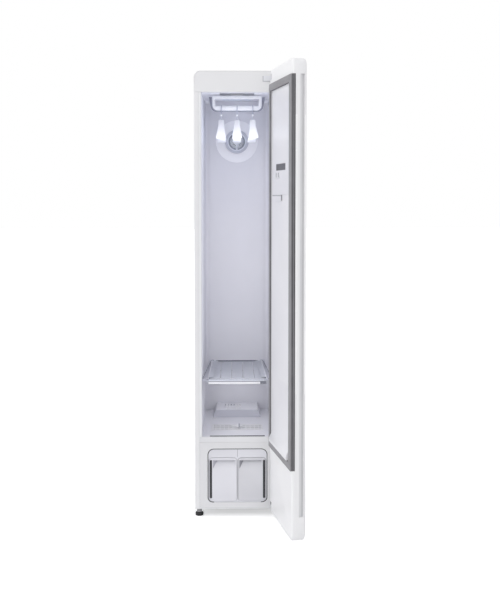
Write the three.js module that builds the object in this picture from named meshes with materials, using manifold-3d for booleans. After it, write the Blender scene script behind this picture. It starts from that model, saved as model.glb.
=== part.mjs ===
// A slim clothes care steam cabinet, standing on levelling feet with its door open on the right.
// Millimetres, +Z up. X runs across from the centre plane, Y runs back from the front face and
// Z up from the floor. The door is drawn closed and then swung open about its hinge pins.
// At the end the whole cabinet is set over the middle of its own outline.
import * as THREE from 'three';
import { mergeVertices } from 'three/addons/utils/BufferGeometryUtils.js';
import { ConvexGeometry } from 'three/addons/geometries/ConvexGeometry.js';
import Module from 'manifold-3d';

const wasm = await Module();
wasm.setup();

// Clearances
const fit = 0.3;
const slideClearance = 1.5;
const overrun = 5;

// Whole cabinet
const cabinetHeight = 1850;
const cabinetWidth = 355;
const bodyBottom = 32;
const cornerRadius = 29;

// Sheet metal body
const sheet = 1.2;
const foldRadius = 2.4;
const frontFlange = 19.2;
const rearFlange = 14;
const capSkirt = 12;
const panThickness = 2;
const panRim = 20;
const frontPlate = 2.5;
const ventWidth = 90;
const ventHeight = 6;
const ventPitch = 14;
const ventBottom = 150;
const ventCentre = -80;
const ventCount = 8;

// Clothes chamber
const chamberWidth = 295;
const chamberDepth = 470;
const rearDuctDepth = 45;
const cabinetDepth = chamberDepth + rearDuctDepth;
const chamberWall = 2;
const floorLevel = 336;
const headerHeight = 86;
const headerReturn = 30;
const ceilingRise = 12;
const rearCornerRadius = 14;
const rearReturn = 20;
const mouthRadius = 3;
const sillHeight = 22.4;
const sillReturn = 9.7;
const ceilingSlotWidth = 148;
const ceilingSlotFront = 130;
const ceilingSlotDepth = 120;
const lampHalf = 62;
const lampFront = 262;
const lampDepth = 140;
const lampThickness = 5;
const lampRound = 2;
const floorGrooveWidth = 230;
const floorGroove = 1.8;

// Steam nozzle step at the back of the chamber floor
const stepHeight = 34;
const stepFront = 325;
const stepTopWidth = 188;
const stepBaseWidth = 216;
const stepWall = 2;
const nozzleLength = 26;
const nozzleWidth = 5;
const nozzlePitch = 13;
const nozzleCount = 6;
const nozzleCentre = -20;
const nozzleFromWall = 62;

// Lint filter in the chamber floor
const filterWidth = 224;
const filterFront = 103;
const filterDepth = 96;
const filterLedge = 4;
const filterSeat = 4;
const filterBar = 3;
const filterFrame = 9;
const filterStand = 1.5;
const filterBarCount = 11;
const filterCrossCount = 2;
const filterGripWidth = 44;
const filterGripDepth = 12;
const filterGripRise = 7;

// Round air outlet in the back of the chamber
const outletDrop = 260;
const dishRadius = 97;
const throatRadius = 55;
const dishDepth = 14;
const outletRingInner = 38;
const outletRingThickness = 5;
const outletHubRadius = 14;
const outletStrutWidth = 6;
const outletStrutCount = 3;
const fanRadius = 35;
const fanHubRadius = 12;
const fanLength = 9;
const fanBladeThickness = 1.6;
const fanBladeTilt = 35;
const fanBladeCount = 7;
const fanMotorRadius = 20;
const fanShaftRadius = 3;

// Hanger rail, which moves from side to side to shake the clothes
const railY = 215;
const railDepth = 14;
const railHeight = 65.5;
const railCeilingGap = 2;
const railTopHalf = 113;
const railBottomHalf = 100;
const railArm = 16;
const railBarHeight = 20;
const railHeadHeight = 14;
const railCorner = 14;
const railStroke = 12;
const carriagePostHalf = 28;
const carriagePostDepth = 24;
const carriagePlateHalf = 60;
const carriagePlateFront = 140;
const carriagePlateDepth = 165;
const carriagePlateThickness = 6;
const carriageLift = 5;
const lugWidth = 12;
const lugHeight = 16;
const lugDepth = 20;
const lugPlace = 46;
const guideY = 160;
const guideRadius = 4;
const guideHalf = 116;
const crankThrow = 12;
const crankPinRadius = 4;
const crankDiscRadius = 20;
const crankDiscThickness = 6;
const crankY = 272;
const driveMotorRadius = 24;
const driveMotorHeight = 30;
const driveShaftRadius = 3;

// Clothes hangers, seen end on from the front
const hangerPitch = 68;
const hangerBelowRail = 40.5;
const hangerReach = 168;
const hangerDrop = 80;
const hangerNeckHalf = 14;
const hangerArmHeight = 24;
const hangerTipHeight = 20;
const hangerTipRound = 8;
const hangerNeckThickness = 26;
const hangerTipThickness = 38;
const hookWire = 1.8;
const hookBallRadius = 5;
const hookBallRise = 20;
const hookSocket = 18;
const hookStart = -125;
const hookSweep = 265;

// Shelf and its ledges
const shelfTop = 573;
const shelfFront = 20;
const shelfDepth = 418;
const shelfFrontHalf = 124;
const shelfTaper = 20;
const shelfPlate = 3;
const shelfRod = 3;
const shelfFaceHeight = 17;
const shelfFaceDepth = 8;
const shelfFaceDrop = 2;
const shelfSlot = 5;
const shelfSlotPitch = 48;
const shelfSlotPlaceShares = [-1.5, -0.5, 0.5, 1.5];
const shelfSlotMargin = 14;
const shelfSlotBridge = 10;
const ledgeFront = 30;
const ledgeThickness = 2.5;
const ledgeWall = 3;
const ledgeWallRise = 7;
const ledgeInner = 100;

// Tank bay and water tanks
const bayWidth = 248.6;
const bayBottom = 59;
const bayTop = 287;
const bayCorner = 17;
const bayGap = 1.8;
const bayDepth = 205;
const bayWall = 2.5;
const bayFlange = 8;
const bayFront = 1;
const bayFasciaHeight = 36;
const bayDivider = 2.5;
const tankWall = 2.5;
const tankFaceY = 2;
const tankRound = 13;
const tankFrontBlock = 28;
const scoopWidth = 95;
const scoopInset = 5;
const scoopHeight = 36;
const scoopTopDrop = 11;
const scoopDepth = 22;
const scoopLeftSlant = 21;
const scoopRightSlant = 4;
const gaugeWidth = 10;
const gaugeHeight = 163;
const gaugeInset = 2.2;
const gaugeBottom = 11.7;
const gaugeDepth = 1.2;
const lidThickness = 3;
const lidDrop = 5.5;
const lidSeat = 2;
const lidPlugRadius = 14;
const lidPlugRise = 1.2;

// Machine compartment behind the tanks
const coilLeft = -150;
const coilRight = 28;
const coilHeight = 200;
const coilDepth = 46;
const evaporatorFront = 225;
const condenserFront = 282;
const coilFin = 2;
const coilFinCount = 9;
const coilTube = 5;
const coilTubeShares = [0.3, 0.7];
const compressorX = 95;
const compressorY = 430;
const compressorRadius = 48;
const compressorHeight = 165;
const compressorDome = 18;
const compressorFoot = 60;
const compressorFootHeight = 6;
const boilerLeft = -140;
const boilerRight = -20;
const boilerFront = 350;
const boilerDepth = 140;
const boilerHeight = 76;
const boilerRound = 14;
const boilerSpoutRadius = 8;
const boilerSpoutHeight = 40;
const pumpX = 62;
const pumpY = 262;
const pumpRadius = 24;
const pumpHeight = 55;
const pumpSpoutRadius = 6;
const pumpSpoutLength = 14;
const blowerX = -90;
const blowerHeight = 215;
const blowerRadius = 58;
const blowerFront = 440;
const blowerWall = 2.5;
const blowerInlet = 34;
const blowerBossRadius = 5;
const blowerOutletWidth = 40;
const blowerOutletHeight = 26;
const wheelRadius = 46;
const wheelLength = 44;
const wheelHubRadius = 12;
const wheelBlade = 2;
const wheelBladeDepth = 10;
const wheelBladeCount = 14;
const wheelDisc = 3;
const wheelRunning = 3;
const controlLeft = 92;
const controlFront = 230;
const controlDepth = 110;
const controlBottom = 200;
const controlHeight = 115;
const controlRound = 6;
const inletX = 120;
const inletHeight = 90;
const inletWidth = 30;
const inletTall = 22;
const inletFlange = 5;
const inletFlangeThickness = 2.5;
const inletBody = 14;
const inletSocketDepth = 10;

// Levelling feet
const footRadius = 17;
const footPadHeight = 22;
const footPadRound = 4;
const footStemRadius = 5;
const footStemTop = 60;
const footCollarRadius = 10;
const footSpread = 160;
const frontFootY = 22;
const hingeFootY = 52;
const rearFootY = 485;

// Door
const doorThickness = 55.5;
const doorGap = 8;
const doorBottom = 39;
const doorEdgeRound = 9;
const doorWall = 4;
const doorFace = 3;
const doorOpenAngle = 101.3;
const glassThickness = 3.7;
const glassLedge = 5;
const glassLedgeThickness = 3;
const grooveBottom = 130;
const grooveTopDrop = 60;
const grooveWidth = 17;
const grooveDepth = 8;
const grooveFromFront = 9;
const grooveWall = 3;

// Door hinges
const hingeInset = 16;
const hingeDepth = 27;
const hingePinRadius = 4;
const hingeEarWidth = 12;
const hingeEarEnd = 7;
const hingeEarThickness = 5;
const hingePlateThickness = 4;
const hingePlateHeight = 20;
const hingePlateReach = 10.5;
const upperPlateDrop = 41;
const upperPlateWidth = 65;
const lowerPlateBottom = 50;
const lowerPlateWidth = 34;
const hingePocketWidth = 34;
const hingePocketDepth = 50;
const hingePocketBottomMargin = 2;
const hingePocketTopMargin = 9;
const hingeBlockHeight = 27;
const hingePinLength = 20;

// Door seal and lining
const sealBottom = 308;
const sealTopDrop = 60;
const sealBand = 30;
const sealStand = 7;
const sealHingeInset = 12;
const sealFreeInset = 1;
const sealSkirt = 12;
const sealSkirtThickness = 6.5;
const liningOverlap = 2;
const liningThickness = 2.5;
const dripStand = 14;
const dripBottom = 340;
const dripLipHeight = 15;
const dripTop = 382;
const dripMargin = 8;
const pressWellMargin = 7;
const pressWellDepth = 10;
const pressPadThickness = 6;
const pressPadMargin = 4;

// Trouser press cover on the door
const coverLeft = -139;
const coverRight = 131;
const coverBottom = 620;
const coverHeight = 725;
const coverThickness = 5;
const coverRecess = 3.6;
const coverPinRadius = 1.5;
const coverPinLength = 5;
const coverLugHeight = 8;
const coverLugHalf = 3;
const gripTabWidth = 136;
const gripTabHeight = 24;
const gripTabStand = 4.5;
const gripTabInset = 27;
const gripTabRound = 2;

// Hooks above the press cover for the trousers
const trouserHookRise = 64;
const trouserHookHeight = 24;
const trouserHookPlate = 1.2;
const trouserHookPlaces = [62, 22];
const trouserHookMargin = 8;
const trouserHookWidth = 5;
const trouserHookReach = 6;
const trouserHookLip = 2;
const trouserHookArm = 4;

// Roundness of the curved pieces
const cornerSteps = 5;
const ringSides = 32;
const drumSides = 24;
const pinSides = 12;
const wireSides = 6;
const edgeSteps = 3;
const nearZero = 0.001;
const halfTurn = Math.PI;
const quarterTurn = Math.PI / 2;

// Places that follow from the sizes above
const halfWidth = cabinetWidth / 2;
const halfChamber = chamberWidth / 2;
const openingTop = cabinetHeight - headerHeight;
const ceilingLevel = openingTop + ceilingRise;
const panelTop = cabinetHeight - cornerRadius - capSkirt;
const innerHalf = halfWidth - sheet - fit;
const innerCorner = cornerRadius - sheet - fit;
const backPanelRear = cabinetDepth - sheet - fit;
const backPanelFront = backPanelRear - sheet;
const rearLimit = backPanelFront - fit;
const panTop = bodyBottom + panThickness;
const lipOuter = halfWidth - frontFlange - fit;
const outletHeight = cabinetHeight - outletDrop;
const railTop = ceilingLevel - railCeilingGap;
const railBottom = railTop - railHeight;
const hangerTop = railBottom - hangerBelowRail;
const hookBallHeight = hangerTop + hookBallRise;
const hingeX = halfWidth - hingeInset;
const hingeY = -(doorGap + hingeDepth);
const upperPlateBottom = cabinetHeight - upperPlateDrop;
const sealTop = cabinetHeight - sealTopDrop;
const grooveTop = cabinetHeight - grooveTopDrop;
const coverTop = coverBottom + coverHeight;
const trouserHookBottom = coverTop + trouserHookRise;
const doorInnerY = -doorGap;
const doorFrontY = -(doorGap + doorThickness);

// Finishes
function finish(color, roughness, metalness = 0, options = {}) {
  return new THREE.MeshStandardMaterial({ color, roughness, metalness, ...options });
}

const whitePaint = finish(0xe9e9ea, 0.35);
const glossWhite = finish(0xf0f0f1, 0.25);
const liningWhite = finish(0xe2e2e6, 0.4);
const chamberPlastic = finish(0xc9cbdb, 0.45);
const tankPlastic = finish(0xdcdce2, 0.4);
const hangerPlastic = finish(0xf6f6fa, 0.4);
const frostedPlastic = finish(0xd5d6e0, 0.5);
const darkPlastic = finish(0x3a3b40, 0.5);
const blackRubber = finish(0x1e1f22, 0.8);
const sealRubber = finish(0x7d7d80, 0.7);
const chromeWire = finish(0xcfd2dc, 0.18, 1);
const zincSteel = finish(0xb4b7bd, 0.4, 0.8);
const aluminiumFin = finish(0xc2c6cc, 0.4, 0.9);
const blackEnamel = finish(0x26282c, 0.45);
const frontGlass = finish(0xf4f5f6, 0.05, 0, { transparent: true, opacity: 0.9 });
const feltPad = finish(0xd9d9dd, 0.9);

// Closed solids for joining and cutting
function solid(geometry) {
  geometry.deleteAttribute('normal');
  geometry.deleteAttribute('uv');
  const merged = mergeVertices(geometry);
  const place = merged.attributes.position;
  const corners = merged.index.array;
  const faces = [];
  const a = new THREE.Vector3();
  const b = new THREE.Vector3();
  const c = new THREE.Vector3();
  let volume = 0;
  for (let i = 0; i < corners.length; i += 3) {
    const [p, q, r] = [corners[i], corners[i + 1], corners[i + 2]];
    if (p === q || q === r || r === p) continue;
    faces.push([p, q, r]);
    a.fromBufferAttribute(place, p);
    b.fromBufferAttribute(place, q);
    c.fromBufferAttribute(place, r);
    volume += a.dot(b.cross(c));
  }
  const outward = faces.map(([p, q, r]) => (volume < 0 ? [p, r, q] : [p, q, r]));
  return new wasm.Manifold(new wasm.Mesh({
    numProp: 3,
    vertProperties: new Float32Array(place.array),
    triVerts: new Uint32Array(outward.flat()),
  }));
}

function box(x0, x1, y0, y1, z0, z1) {
  const block = new THREE.BoxGeometry(x1 - x0, y1 - y0, z1 - z0);
  block.translate((x0 + x1) / 2, (y0 + y1) / 2, (z0 + z1) / 2);
  return solid(block);
}

// Outlines in a plane, as lists of points
function arc(cx, cy, radius, from, to, steps = cornerSteps) {
  const points = [];
  for (let i = 0; i <= steps; i += 1) {
    const angle = from + ((to - from) * i) / steps;
    points.push(new THREE.Vector2(cx + radius * Math.cos(angle), cy + radius * Math.sin(angle)));
  }
  return points;
}

function shapeOf(points) {
  const kept = points.filter((p, i) => p.distanceTo(points[(i + 1) % points.length]) > nearZero);
  return new THREE.Shape(kept);
}

// A rectangle with its corner radii in the order lower left, lower right, upper right, upper left
function rectangle(left, right, bottom, top, radii = [0, 0, 0, 0]) {
  const [a, b, c, d] = radii;
  return shapeOf([
    ...arc(left + a, bottom + a, a, halfTurn, halfTurn + quarterTurn),
    ...arc(right - b, bottom + b, b, -quarterTurn, 0),
    ...arc(right - c, top - c, c, 0, quarterTurn),
    ...arc(left + d, top - d, d, quarterTurn, halfTurn),
  ]);
}

function evenly(radius) {
  return [radius, radius, radius, radius];
}

function filleted(points, radii) {
  const result = [points[0]];
  for (let i = 1; i < points.length - 1; i += 1) {
    const here = points[i];
    const back = points[i - 1].clone().sub(here).normalize();
    const ahead = points[i + 1].clone().sub(here).normalize();
    const radius = radii[i - 1];
    const half = Math.acos(back.dot(ahead)) / 2;
    const centre = back.clone().add(ahead).normalize().multiplyScalar(radius / Math.sin(half));
    centre.add(here);
    const start = here.clone().addScaledVector(back, radius / Math.tan(half)).sub(centre);
    const end = here.clone().addScaledVector(ahead, radius / Math.tan(half)).sub(centre);
    const from = Math.atan2(start.y, start.x);
    const turn = Math.atan2(start.x * end.y - start.y * end.x, start.dot(end));
    result.push(...arc(centre.x, centre.y, radius, from, from + turn));
  }
  result.push(points[points.length - 1]);
  return result;
}

// A bent strip of constant thickness, laid to the right of the line through the points
function strip(points, thickness, radii) {
  const rightOf = (p, q) => new THREE.Vector2(q.y - p.y, p.x - q.x).normalize();
  const inner = points.map((point, i) => {
    const before = i > 0 ? rightOf(points[i - 1], point) : rightOf(point, points[i + 1]);
    const after = i < points.length - 1 ? rightOf(point, points[i + 1]) : before;
    const lean = before.clone().add(after).multiplyScalar(1 / (1 + before.dot(after)));
    return point.clone().addScaledVector(lean, thickness);
  });
  const innerRadii = radii.map((radius, i) => {
    const before = points[i + 1].clone().sub(points[i]);
    const after = points[i + 2].clone().sub(points[i + 1]);
    return before.cross(after) < 0 ? radius - thickness : radius + thickness;
  });
  return shapeOf([...filleted(points, radii), ...filleted(inner, innerRadii).reverse()]);
}

function point(x, y) {
  return new THREE.Vector2(x, y);
}

function mirrored(points) {
  return points.map((p) => point(-p.x, p.y)).reverse();
}

// Prisms of an outline along each axis
function alongZ(shape, z0, z1) {
  const prism = new THREE.ExtrudeGeometry(shape, { depth: z1 - z0, bevelEnabled: false, steps: 1 });
  prism.translate(0, 0, z0);
  return solid(prism);
}

function alongY(shape, y0, y1) {
  const prism = new THREE.ExtrudeGeometry(shape, { depth: y1 - y0, bevelEnabled: false, steps: 1 });
  prism.rotateX(quarterTurn);
  prism.translate(0, y1, 0);
  return solid(prism);
}

function alongX(shape, x0, x1) {
  const prism = new THREE.ExtrudeGeometry(shape, { depth: x1 - x0, bevelEnabled: false, steps: 1 });
  const turned = new THREE.Matrix4().makeBasis(
    new THREE.Vector3(0, 1, 0),
    new THREE.Vector3(0, 0, 1),
    new THREE.Vector3(1, 0, 0),
  );
  prism.applyMatrix4(turned);
  prism.translate(x0, 0, 0);
  return solid(prism);
}

// Round pieces
function rod(from, to, radius, sides = pinSides) {
  const start = new THREE.Vector3(...from);
  const line = new THREE.Vector3(...to).sub(start);
  const cylinder = new THREE.CylinderGeometry(radius, radius, line.length(), sides);
  const up = new THREE.Vector3(0, 1, 0);
  cylinder.applyQuaternion(new THREE.Quaternion().setFromUnitVectors(up, line.clone().normalize()));
  const middle = start.addScaledVector(line, 1 / 2);
  cylinder.translate(middle.x, middle.y, middle.z);
  return solid(cylinder);
}

// A turned piece from its radii and places along a standing axis
function turnedZ(profile, x, y, sides = drumSides) {
  const lathe = new THREE.LatheGeometry(profile.map(([r, h]) => point(r, h)), sides);
  lathe.rotateX(quarterTurn);
  lathe.translate(x, y, 0);
  return solid(lathe);
}

// A turned piece from its radii and places along an axis that runs front to back
function turnedY(profile, x, z, sides = drumSides) {
  const lathe = new THREE.LatheGeometry(profile.map(([r, h]) => point(r, h)), sides);
  lathe.translate(x, 0, z);
  return solid(lathe);
}

function hull(points) {
  return solid(new ConvexGeometry(points.map((p) => new THREE.Vector3(...p))));
}

function turnAboutY(manifold, x, z, angle) {
  const degrees = THREE.MathUtils.radToDeg(angle);
  return manifold.translate([-x, 0, -z]).rotate([0, degrees, 0]).translate([x, 0, z]);
}

const cabinet = new THREE.Group();

function add(group, name, manifold, material) {
  const { vertProperties, triVerts } = manifold.getMesh();
  const geometry = new THREE.BufferGeometry();
  geometry.setAttribute('position', new THREE.BufferAttribute(vertProperties, 3));
  geometry.setIndex(new THREE.BufferAttribute(triVerts, 1));
  geometry.computeVertexNormals();
  const mesh = new THREE.Mesh(geometry, material);
  mesh.name = name;
  group.add(mesh);
  return mesh;
}

// Outer body: two folded side panels, a rounded top cap, a base pan and a back panel
const sidePath = [
  point(-halfWidth + frontFlange, 0),
  point(-halfWidth, 0),
  point(-halfWidth, cabinetDepth),
  point(-halfWidth + rearFlange, cabinetDepth),
];
const sideFolds = [foldRadius, foldRadius];
const notchLeft = box(
  -halfWidth + sheet,
  -halfWidth + frontFlange + overrun,
  -overrun,
  foldRadius + sheet,
  openingTop - fit,
  cabinetHeight,
);
const leftPanel = alongZ(strip(sidePath, sheet, sideFolds), bodyBottom, panelTop - fit);
const rightPanel = alongZ(strip(mirrored(sidePath), sheet, sideFolds), bodyBottom, panelTop - fit);
add(cabinet, 'left_side_panel', leftPanel.subtract(notchLeft), whitePaint);
add(cabinet, 'right_side_panel', rightPanel.subtract(notchLeft.mirror([1, 0, 0])), whitePaint);

const capPath = [
  point(-halfWidth, panelTop),
  point(-halfWidth, cabinetHeight),
  point(halfWidth, cabinetHeight),
  point(halfWidth, panelTop),
];
const capShape = strip(capPath, sheet, [cornerRadius, cornerRadius]);
add(cabinet, 'top_cap', alongY(capShape, 0, cabinetDepth), whitePaint);

const panPath = [
  point(innerHalf, bodyBottom + panRim),
  point(innerHalf, bodyBottom),
  point(-innerHalf, bodyBottom),
  point(-innerHalf, bodyBottom + panRim),
];
const feet = [
  { name: 'front_left_foot', x: -footSpread, y: frontFootY },
  { name: 'front_right_foot', x: footSpread, y: hingeFootY },
  { name: 'rear_left_foot', x: -footSpread, y: rearFootY },
  { name: 'rear_right_foot', x: footSpread, y: rearFootY },
];
let pan = alongY(strip(panPath, panThickness, [foldRadius, foldRadius]), frontPlate + fit, rearLimit);
for (const foot of feet) {
  const hole = [foot.x, foot.y];
  pan = pan.subtract(rod(
    [...hole, bodyBottom - overrun],
    [...hole, panTop + overrun],
    footStemRadius + fit,
  ));
}
add(cabinet, 'base_pan', pan, zincSteel);

const backHalf = innerHalf - foldRadius;
const backShape = rectangle(
  -backHalf,
  backHalf,
  panTop + fit,
  cabinetHeight - sheet - fit,
  [0, 0, innerCorner, innerCorner],
);
let back = alongY(backShape, backPanelFront, backPanelRear);
for (let i = 0; i < ventCount; i += 1) {
  const bottom = ventBottom + i * ventPitch;
  back = back.subtract(box(
    ventCentre - ventWidth / 2,
    ventCentre + ventWidth / 2,
    backPanelFront - overrun,
    backPanelRear + overrun,
    bottom,
    bottom + ventHeight,
  ));
}
back = back.subtract(box(
  inletX - inletWidth / 2 - fit,
  inletX + inletWidth / 2 + fit,
  backPanelFront - overrun,
  backPanelRear + overrun,
  inletHeight - inletTall / 2 - fit,
  inletHeight + inletTall / 2 + fit,
));
add(cabinet, 'back_panel', back, whitePaint);

// Fronts that close the body round the chamber and the tank bay
const headerShape = rectangle(
  -innerHalf,
  innerHalf,
  openingTop,
  cabinetHeight - sheet - fit,
  [0, 0, innerCorner, innerCorner],
);
const returnHalf = halfChamber - fit;
const header = alongY(headerShape, 0, frontPlate)
  .add(box(-returnHalf, returnHalf, 0, headerReturn, openingTop, openingTop + frontPlate))
  .add(box(
    -returnHalf,
    returnHalf,
    headerReturn - frontPlate,
    headerReturn,
    openingTop,
    ceilingLevel + chamberWall,
  ));
add(cabinet, 'front_header', header, whitePaint);

const sillBottom = floorLevel - sillHeight;
const sillPath = [
  point(0, sillBottom),
  point(0, floorLevel),
  point(sillReturn, floorLevel),
];
const sill = alongX(strip(sillPath, chamberWall, [foldRadius]), -lipOuter, lipOuter);
add(cabinet, 'sill_strip', sill, whitePaint);

const bayHalf = bayWidth / 2;
const lowerPanel = alongY(
  rectangle(-lipOuter, lipOuter, bodyBottom, sillBottom - fit),
  0,
  frontPlate,
).subtract(alongY(
  rectangle(-bayHalf, bayHalf, bayBottom, bayTop, evenly(bayCorner)),
  -overrun,
  frontPlate + overrun,
));
add(cabinet, 'lower_front_panel', lowerPanel, whitePaint);

// Chamber lining: side walls with rounded rear corners, back wall, ceiling and floor
const wallPath = [
  point(-halfChamber + rearReturn, chamberDepth),
  point(-halfChamber, chamberDepth),
  point(-halfChamber, 0),
  point(-lipOuter, 0),
];
const wallRounds = [rearCornerRadius, mouthRadius];
const wallBottom = floorLevel + fit;
const wallTop = openingTop - fit;
const leftWall = alongZ(strip(wallPath, chamberWall, wallRounds), wallBottom, wallTop);
const rightWall = alongZ(
  strip(mirrored(wallPath), chamberWall, [...wallRounds].reverse()),
  wallBottom,
  wallTop,
);
add(cabinet, 'left_inner_wall', leftWall, chamberPlastic);
add(cabinet, 'right_inner_wall', rightWall, chamberPlastic);

const rearHalf = halfChamber - rearReturn - fit;
const dishBack = chamberDepth + dishDepth;
const rearWall = box(
  -rearHalf,
  rearHalf,
  chamberDepth,
  chamberDepth + chamberWall,
  wallBottom,
  ceilingLevel - fit,
).add(turnedY([
  [0, chamberDepth],
  [dishRadius + chamberWall, chamberDepth],
  [throatRadius + chamberWall, dishBack + chamberWall],
  [0, dishBack + chamberWall],
], 0, outletHeight, ringSides)).subtract(turnedY([
  [0, chamberDepth - overrun],
  [dishRadius, chamberDepth - overrun],
  [dishRadius, chamberDepth],
  [throatRadius + fit, dishBack],
  [0, dishBack],
], 0, outletHeight, ringSides)).subtract(rod(
  [0, dishBack - overrun, outletHeight],
  [0, dishBack + chamberWall + overrun, outletHeight],
  outletRingInner + outletRingThickness,
  ringSides,
));
add(cabinet, 'rear_inner_wall', rearWall, chamberPlastic);

const ceilingPath = [
  point(halfChamber, openingTop),
  point(halfChamber, ceilingLevel),
  point(-halfChamber, ceilingLevel),
  point(-halfChamber, openingTop),
];
const slotHalf = ceilingSlotWidth / 2;
const ceiling = alongY(
  strip(ceilingPath, chamberWall, [mouthRadius, mouthRadius]),
  headerReturn + fit,
  chamberDepth + chamberWall,
).subtract(box(
  -slotHalf,
  slotHalf,
  ceilingSlotFront,
  ceilingSlotFront + ceilingSlotDepth,
  ceilingLevel - overrun,
  ceilingLevel + overrun,
)).add(box(
  -halfChamber - chamberWall,
  -halfChamber + rearReturn,
  chamberDepth,
  chamberDepth + chamberWall,
  openingTop,
  ceilingLevel + chamberWall,
)).add(box(
  halfChamber - rearReturn,
  halfChamber + chamberWall,
  chamberDepth,
  chamberDepth + chamberWall,
  openingTop,
  ceilingLevel + chamberWall,
));
add(cabinet, 'chamber_ceiling', ceiling, chamberPlastic);

const lampShape = rectangle(
  -lampHalf,
  lampHalf,
  ceilingLevel - fit - lampThickness,
  ceilingLevel - fit,
  [lampRound, lampRound, 0, 0],
);
add(cabinet, 'lamp_cover', alongY(lampShape, lampFront, lampFront + lampDepth), frostedPlastic);

const filterHalf = filterWidth / 2;
const filterRear = filterFront + filterDepth;
const floorFront = sillReturn + fit;
const floorHalf = halfChamber + chamberWall;
const ledgeBottom = floorLevel - filterSeat - chamberWall;
const floorPlate = box(
  -floorHalf,
  floorHalf,
  floorFront,
  chamberDepth + chamberWall,
  floorLevel - chamberWall,
  floorLevel,
).add(box(
  -filterHalf - chamberWall,
  filterHalf + chamberWall,
  filterFront - chamberWall,
  filterRear + chamberWall,
  ledgeBottom,
  floorLevel,
)).subtract(box(
  -filterHalf,
  filterHalf,
  filterFront,
  filterRear,
  floorLevel - filterSeat,
  floorLevel + overrun,
)).subtract(box(
  -filterHalf + filterLedge,
  filterHalf - filterLedge,
  filterFront + filterLedge,
  filterRear - filterLedge,
  ledgeBottom - overrun,
  floorLevel,
)).subtract(box(
  -floorGrooveWidth / 2,
  floorGrooveWidth / 2,
  floorFront - overrun,
  floorFront + floorGroove,
  ledgeBottom,
  floorLevel + overrun,
));
add(cabinet, 'chamber_floor', floorPlate, chamberPlastic);

// Steam nozzle step, a hollow cover open underneath
const stepBottom = floorLevel + fit;
const stepTop = floorLevel + stepHeight;
const stepRear = chamberDepth - fit;
function stepOutline(inset) {
  return shapeOf([
    point(-stepBaseWidth / 2 + inset, stepBottom),
    point(stepBaseWidth / 2 - inset, stepBottom),
    point(stepTopWidth / 2 - inset, stepTop - inset),
    point(-stepTopWidth / 2 + inset, stepTop - inset),
  ]);
}
const stepHollow = alongY(stepOutline(stepWall), stepFront + stepWall, stepRear - stepWall)
  .add(box(
    -stepBaseWidth / 2 + stepWall,
    stepBaseWidth / 2 - stepWall,
    stepFront + stepWall,
    stepRear - stepWall,
    stepBottom - overrun,
    stepBottom + stepWall / 2,
  ));
let step = alongY(stepOutline(0), stepFront, stepRear).subtract(stepHollow);
for (let i = 0; i < nozzleCount; i += 1) {
  const x = nozzleCentre + (i - (nozzleCount - 1) / 2) * nozzlePitch;
  step = step.subtract(box(
    x - nozzleWidth / 2,
    x + nozzleWidth / 2,
    chamberDepth - nozzleFromWall,
    chamberDepth - nozzleFromWall + nozzleLength,
    stepTop - stepWall - overrun,
    stepTop + overrun,
  ));
}
add(cabinet, 'steam_nozzle_step', step, chamberPlastic);

// Lint filter: a framed grid that lifts out of the floor by its raised grip
const gridHalf = filterHalf - fit;
const gridFront = filterFront + fit;
const gridRear = filterRear - fit;
const gridBottom = floorLevel - filterSeat + fit;
const gridTop = floorLevel + filterStand;
let grid = box(-gridHalf, gridHalf, gridFront, gridRear, gridBottom, gridTop).subtract(box(
  -gridHalf + filterFrame,
  gridHalf - filterFrame,
  gridFront + filterFrame,
  gridRear - filterFrame,
  gridBottom - overrun,
  gridTop + overrun,
));
for (let i = 1; i <= filterBarCount; i += 1) {
  const x = -gridHalf + (2 * gridHalf * i) / (filterBarCount + 1);
  grid = grid.add(box(
    x - filterBar / 2,
    x + filterBar / 2,
    gridFront + filterFrame / 2,
    gridRear - filterFrame / 2,
    gridBottom,
    floorLevel,
  ));
}
for (let i = 1; i <= filterCrossCount; i += 1) {
  const y = gridFront + ((gridRear - gridFront) * i) / (filterCrossCount + 1);
  grid = grid.add(box(
    -gridHalf + filterFrame / 2,
    gridHalf - filterFrame / 2,
    y - filterBar / 2,
    y + filterBar / 2,
    gridBottom,
    floorLevel,
  ));
}
const gridMiddle = (gridFront + gridRear) / 2;
const filterGrip = box(
  -filterGripWidth / 2,
  filterGripWidth / 2,
  gridMiddle - filterGripDepth / 2,
  gridMiddle + filterGripDepth / 2,
  gridBottom,
  gridTop + filterGripRise,
);
add(cabinet, 'lint_filter', grid.add(filterGrip), frostedPlastic);

// Round air outlet: bezel with struts, fan wheel and its motor on the back panel
const bezelFront = dishBack - outletRingThickness - fit;
const bezelRear = dishBack - fit;
let bezel = turnedY([
  [outletRingInner, bezelFront],
  [throatRadius, bezelFront],
  [throatRadius, bezelRear],
  [outletRingInner, bezelRear],
  [outletRingInner, bezelFront],
], 0, outletHeight, ringSides).add(rod(
  [0, bezelFront, outletHeight],
  [0, bezelRear, outletHeight],
  outletHubRadius,
  drumSides,
));
for (let i = 0; i < outletStrutCount; i += 1) {
  const strut = box(
    -outletStrutWidth / 2,
    outletStrutWidth / 2,
    bezelFront,
    bezelRear,
    outletHeight - outletRingInner - fit,
    outletHeight - outletHubRadius + fit,
  );
  bezel = bezel.add(turnAboutY(strut, 0, outletHeight, (2 * halfTurn * i) / outletStrutCount));
}
add(cabinet, 'outlet_bezel', bezel, frostedPlastic);

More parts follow.
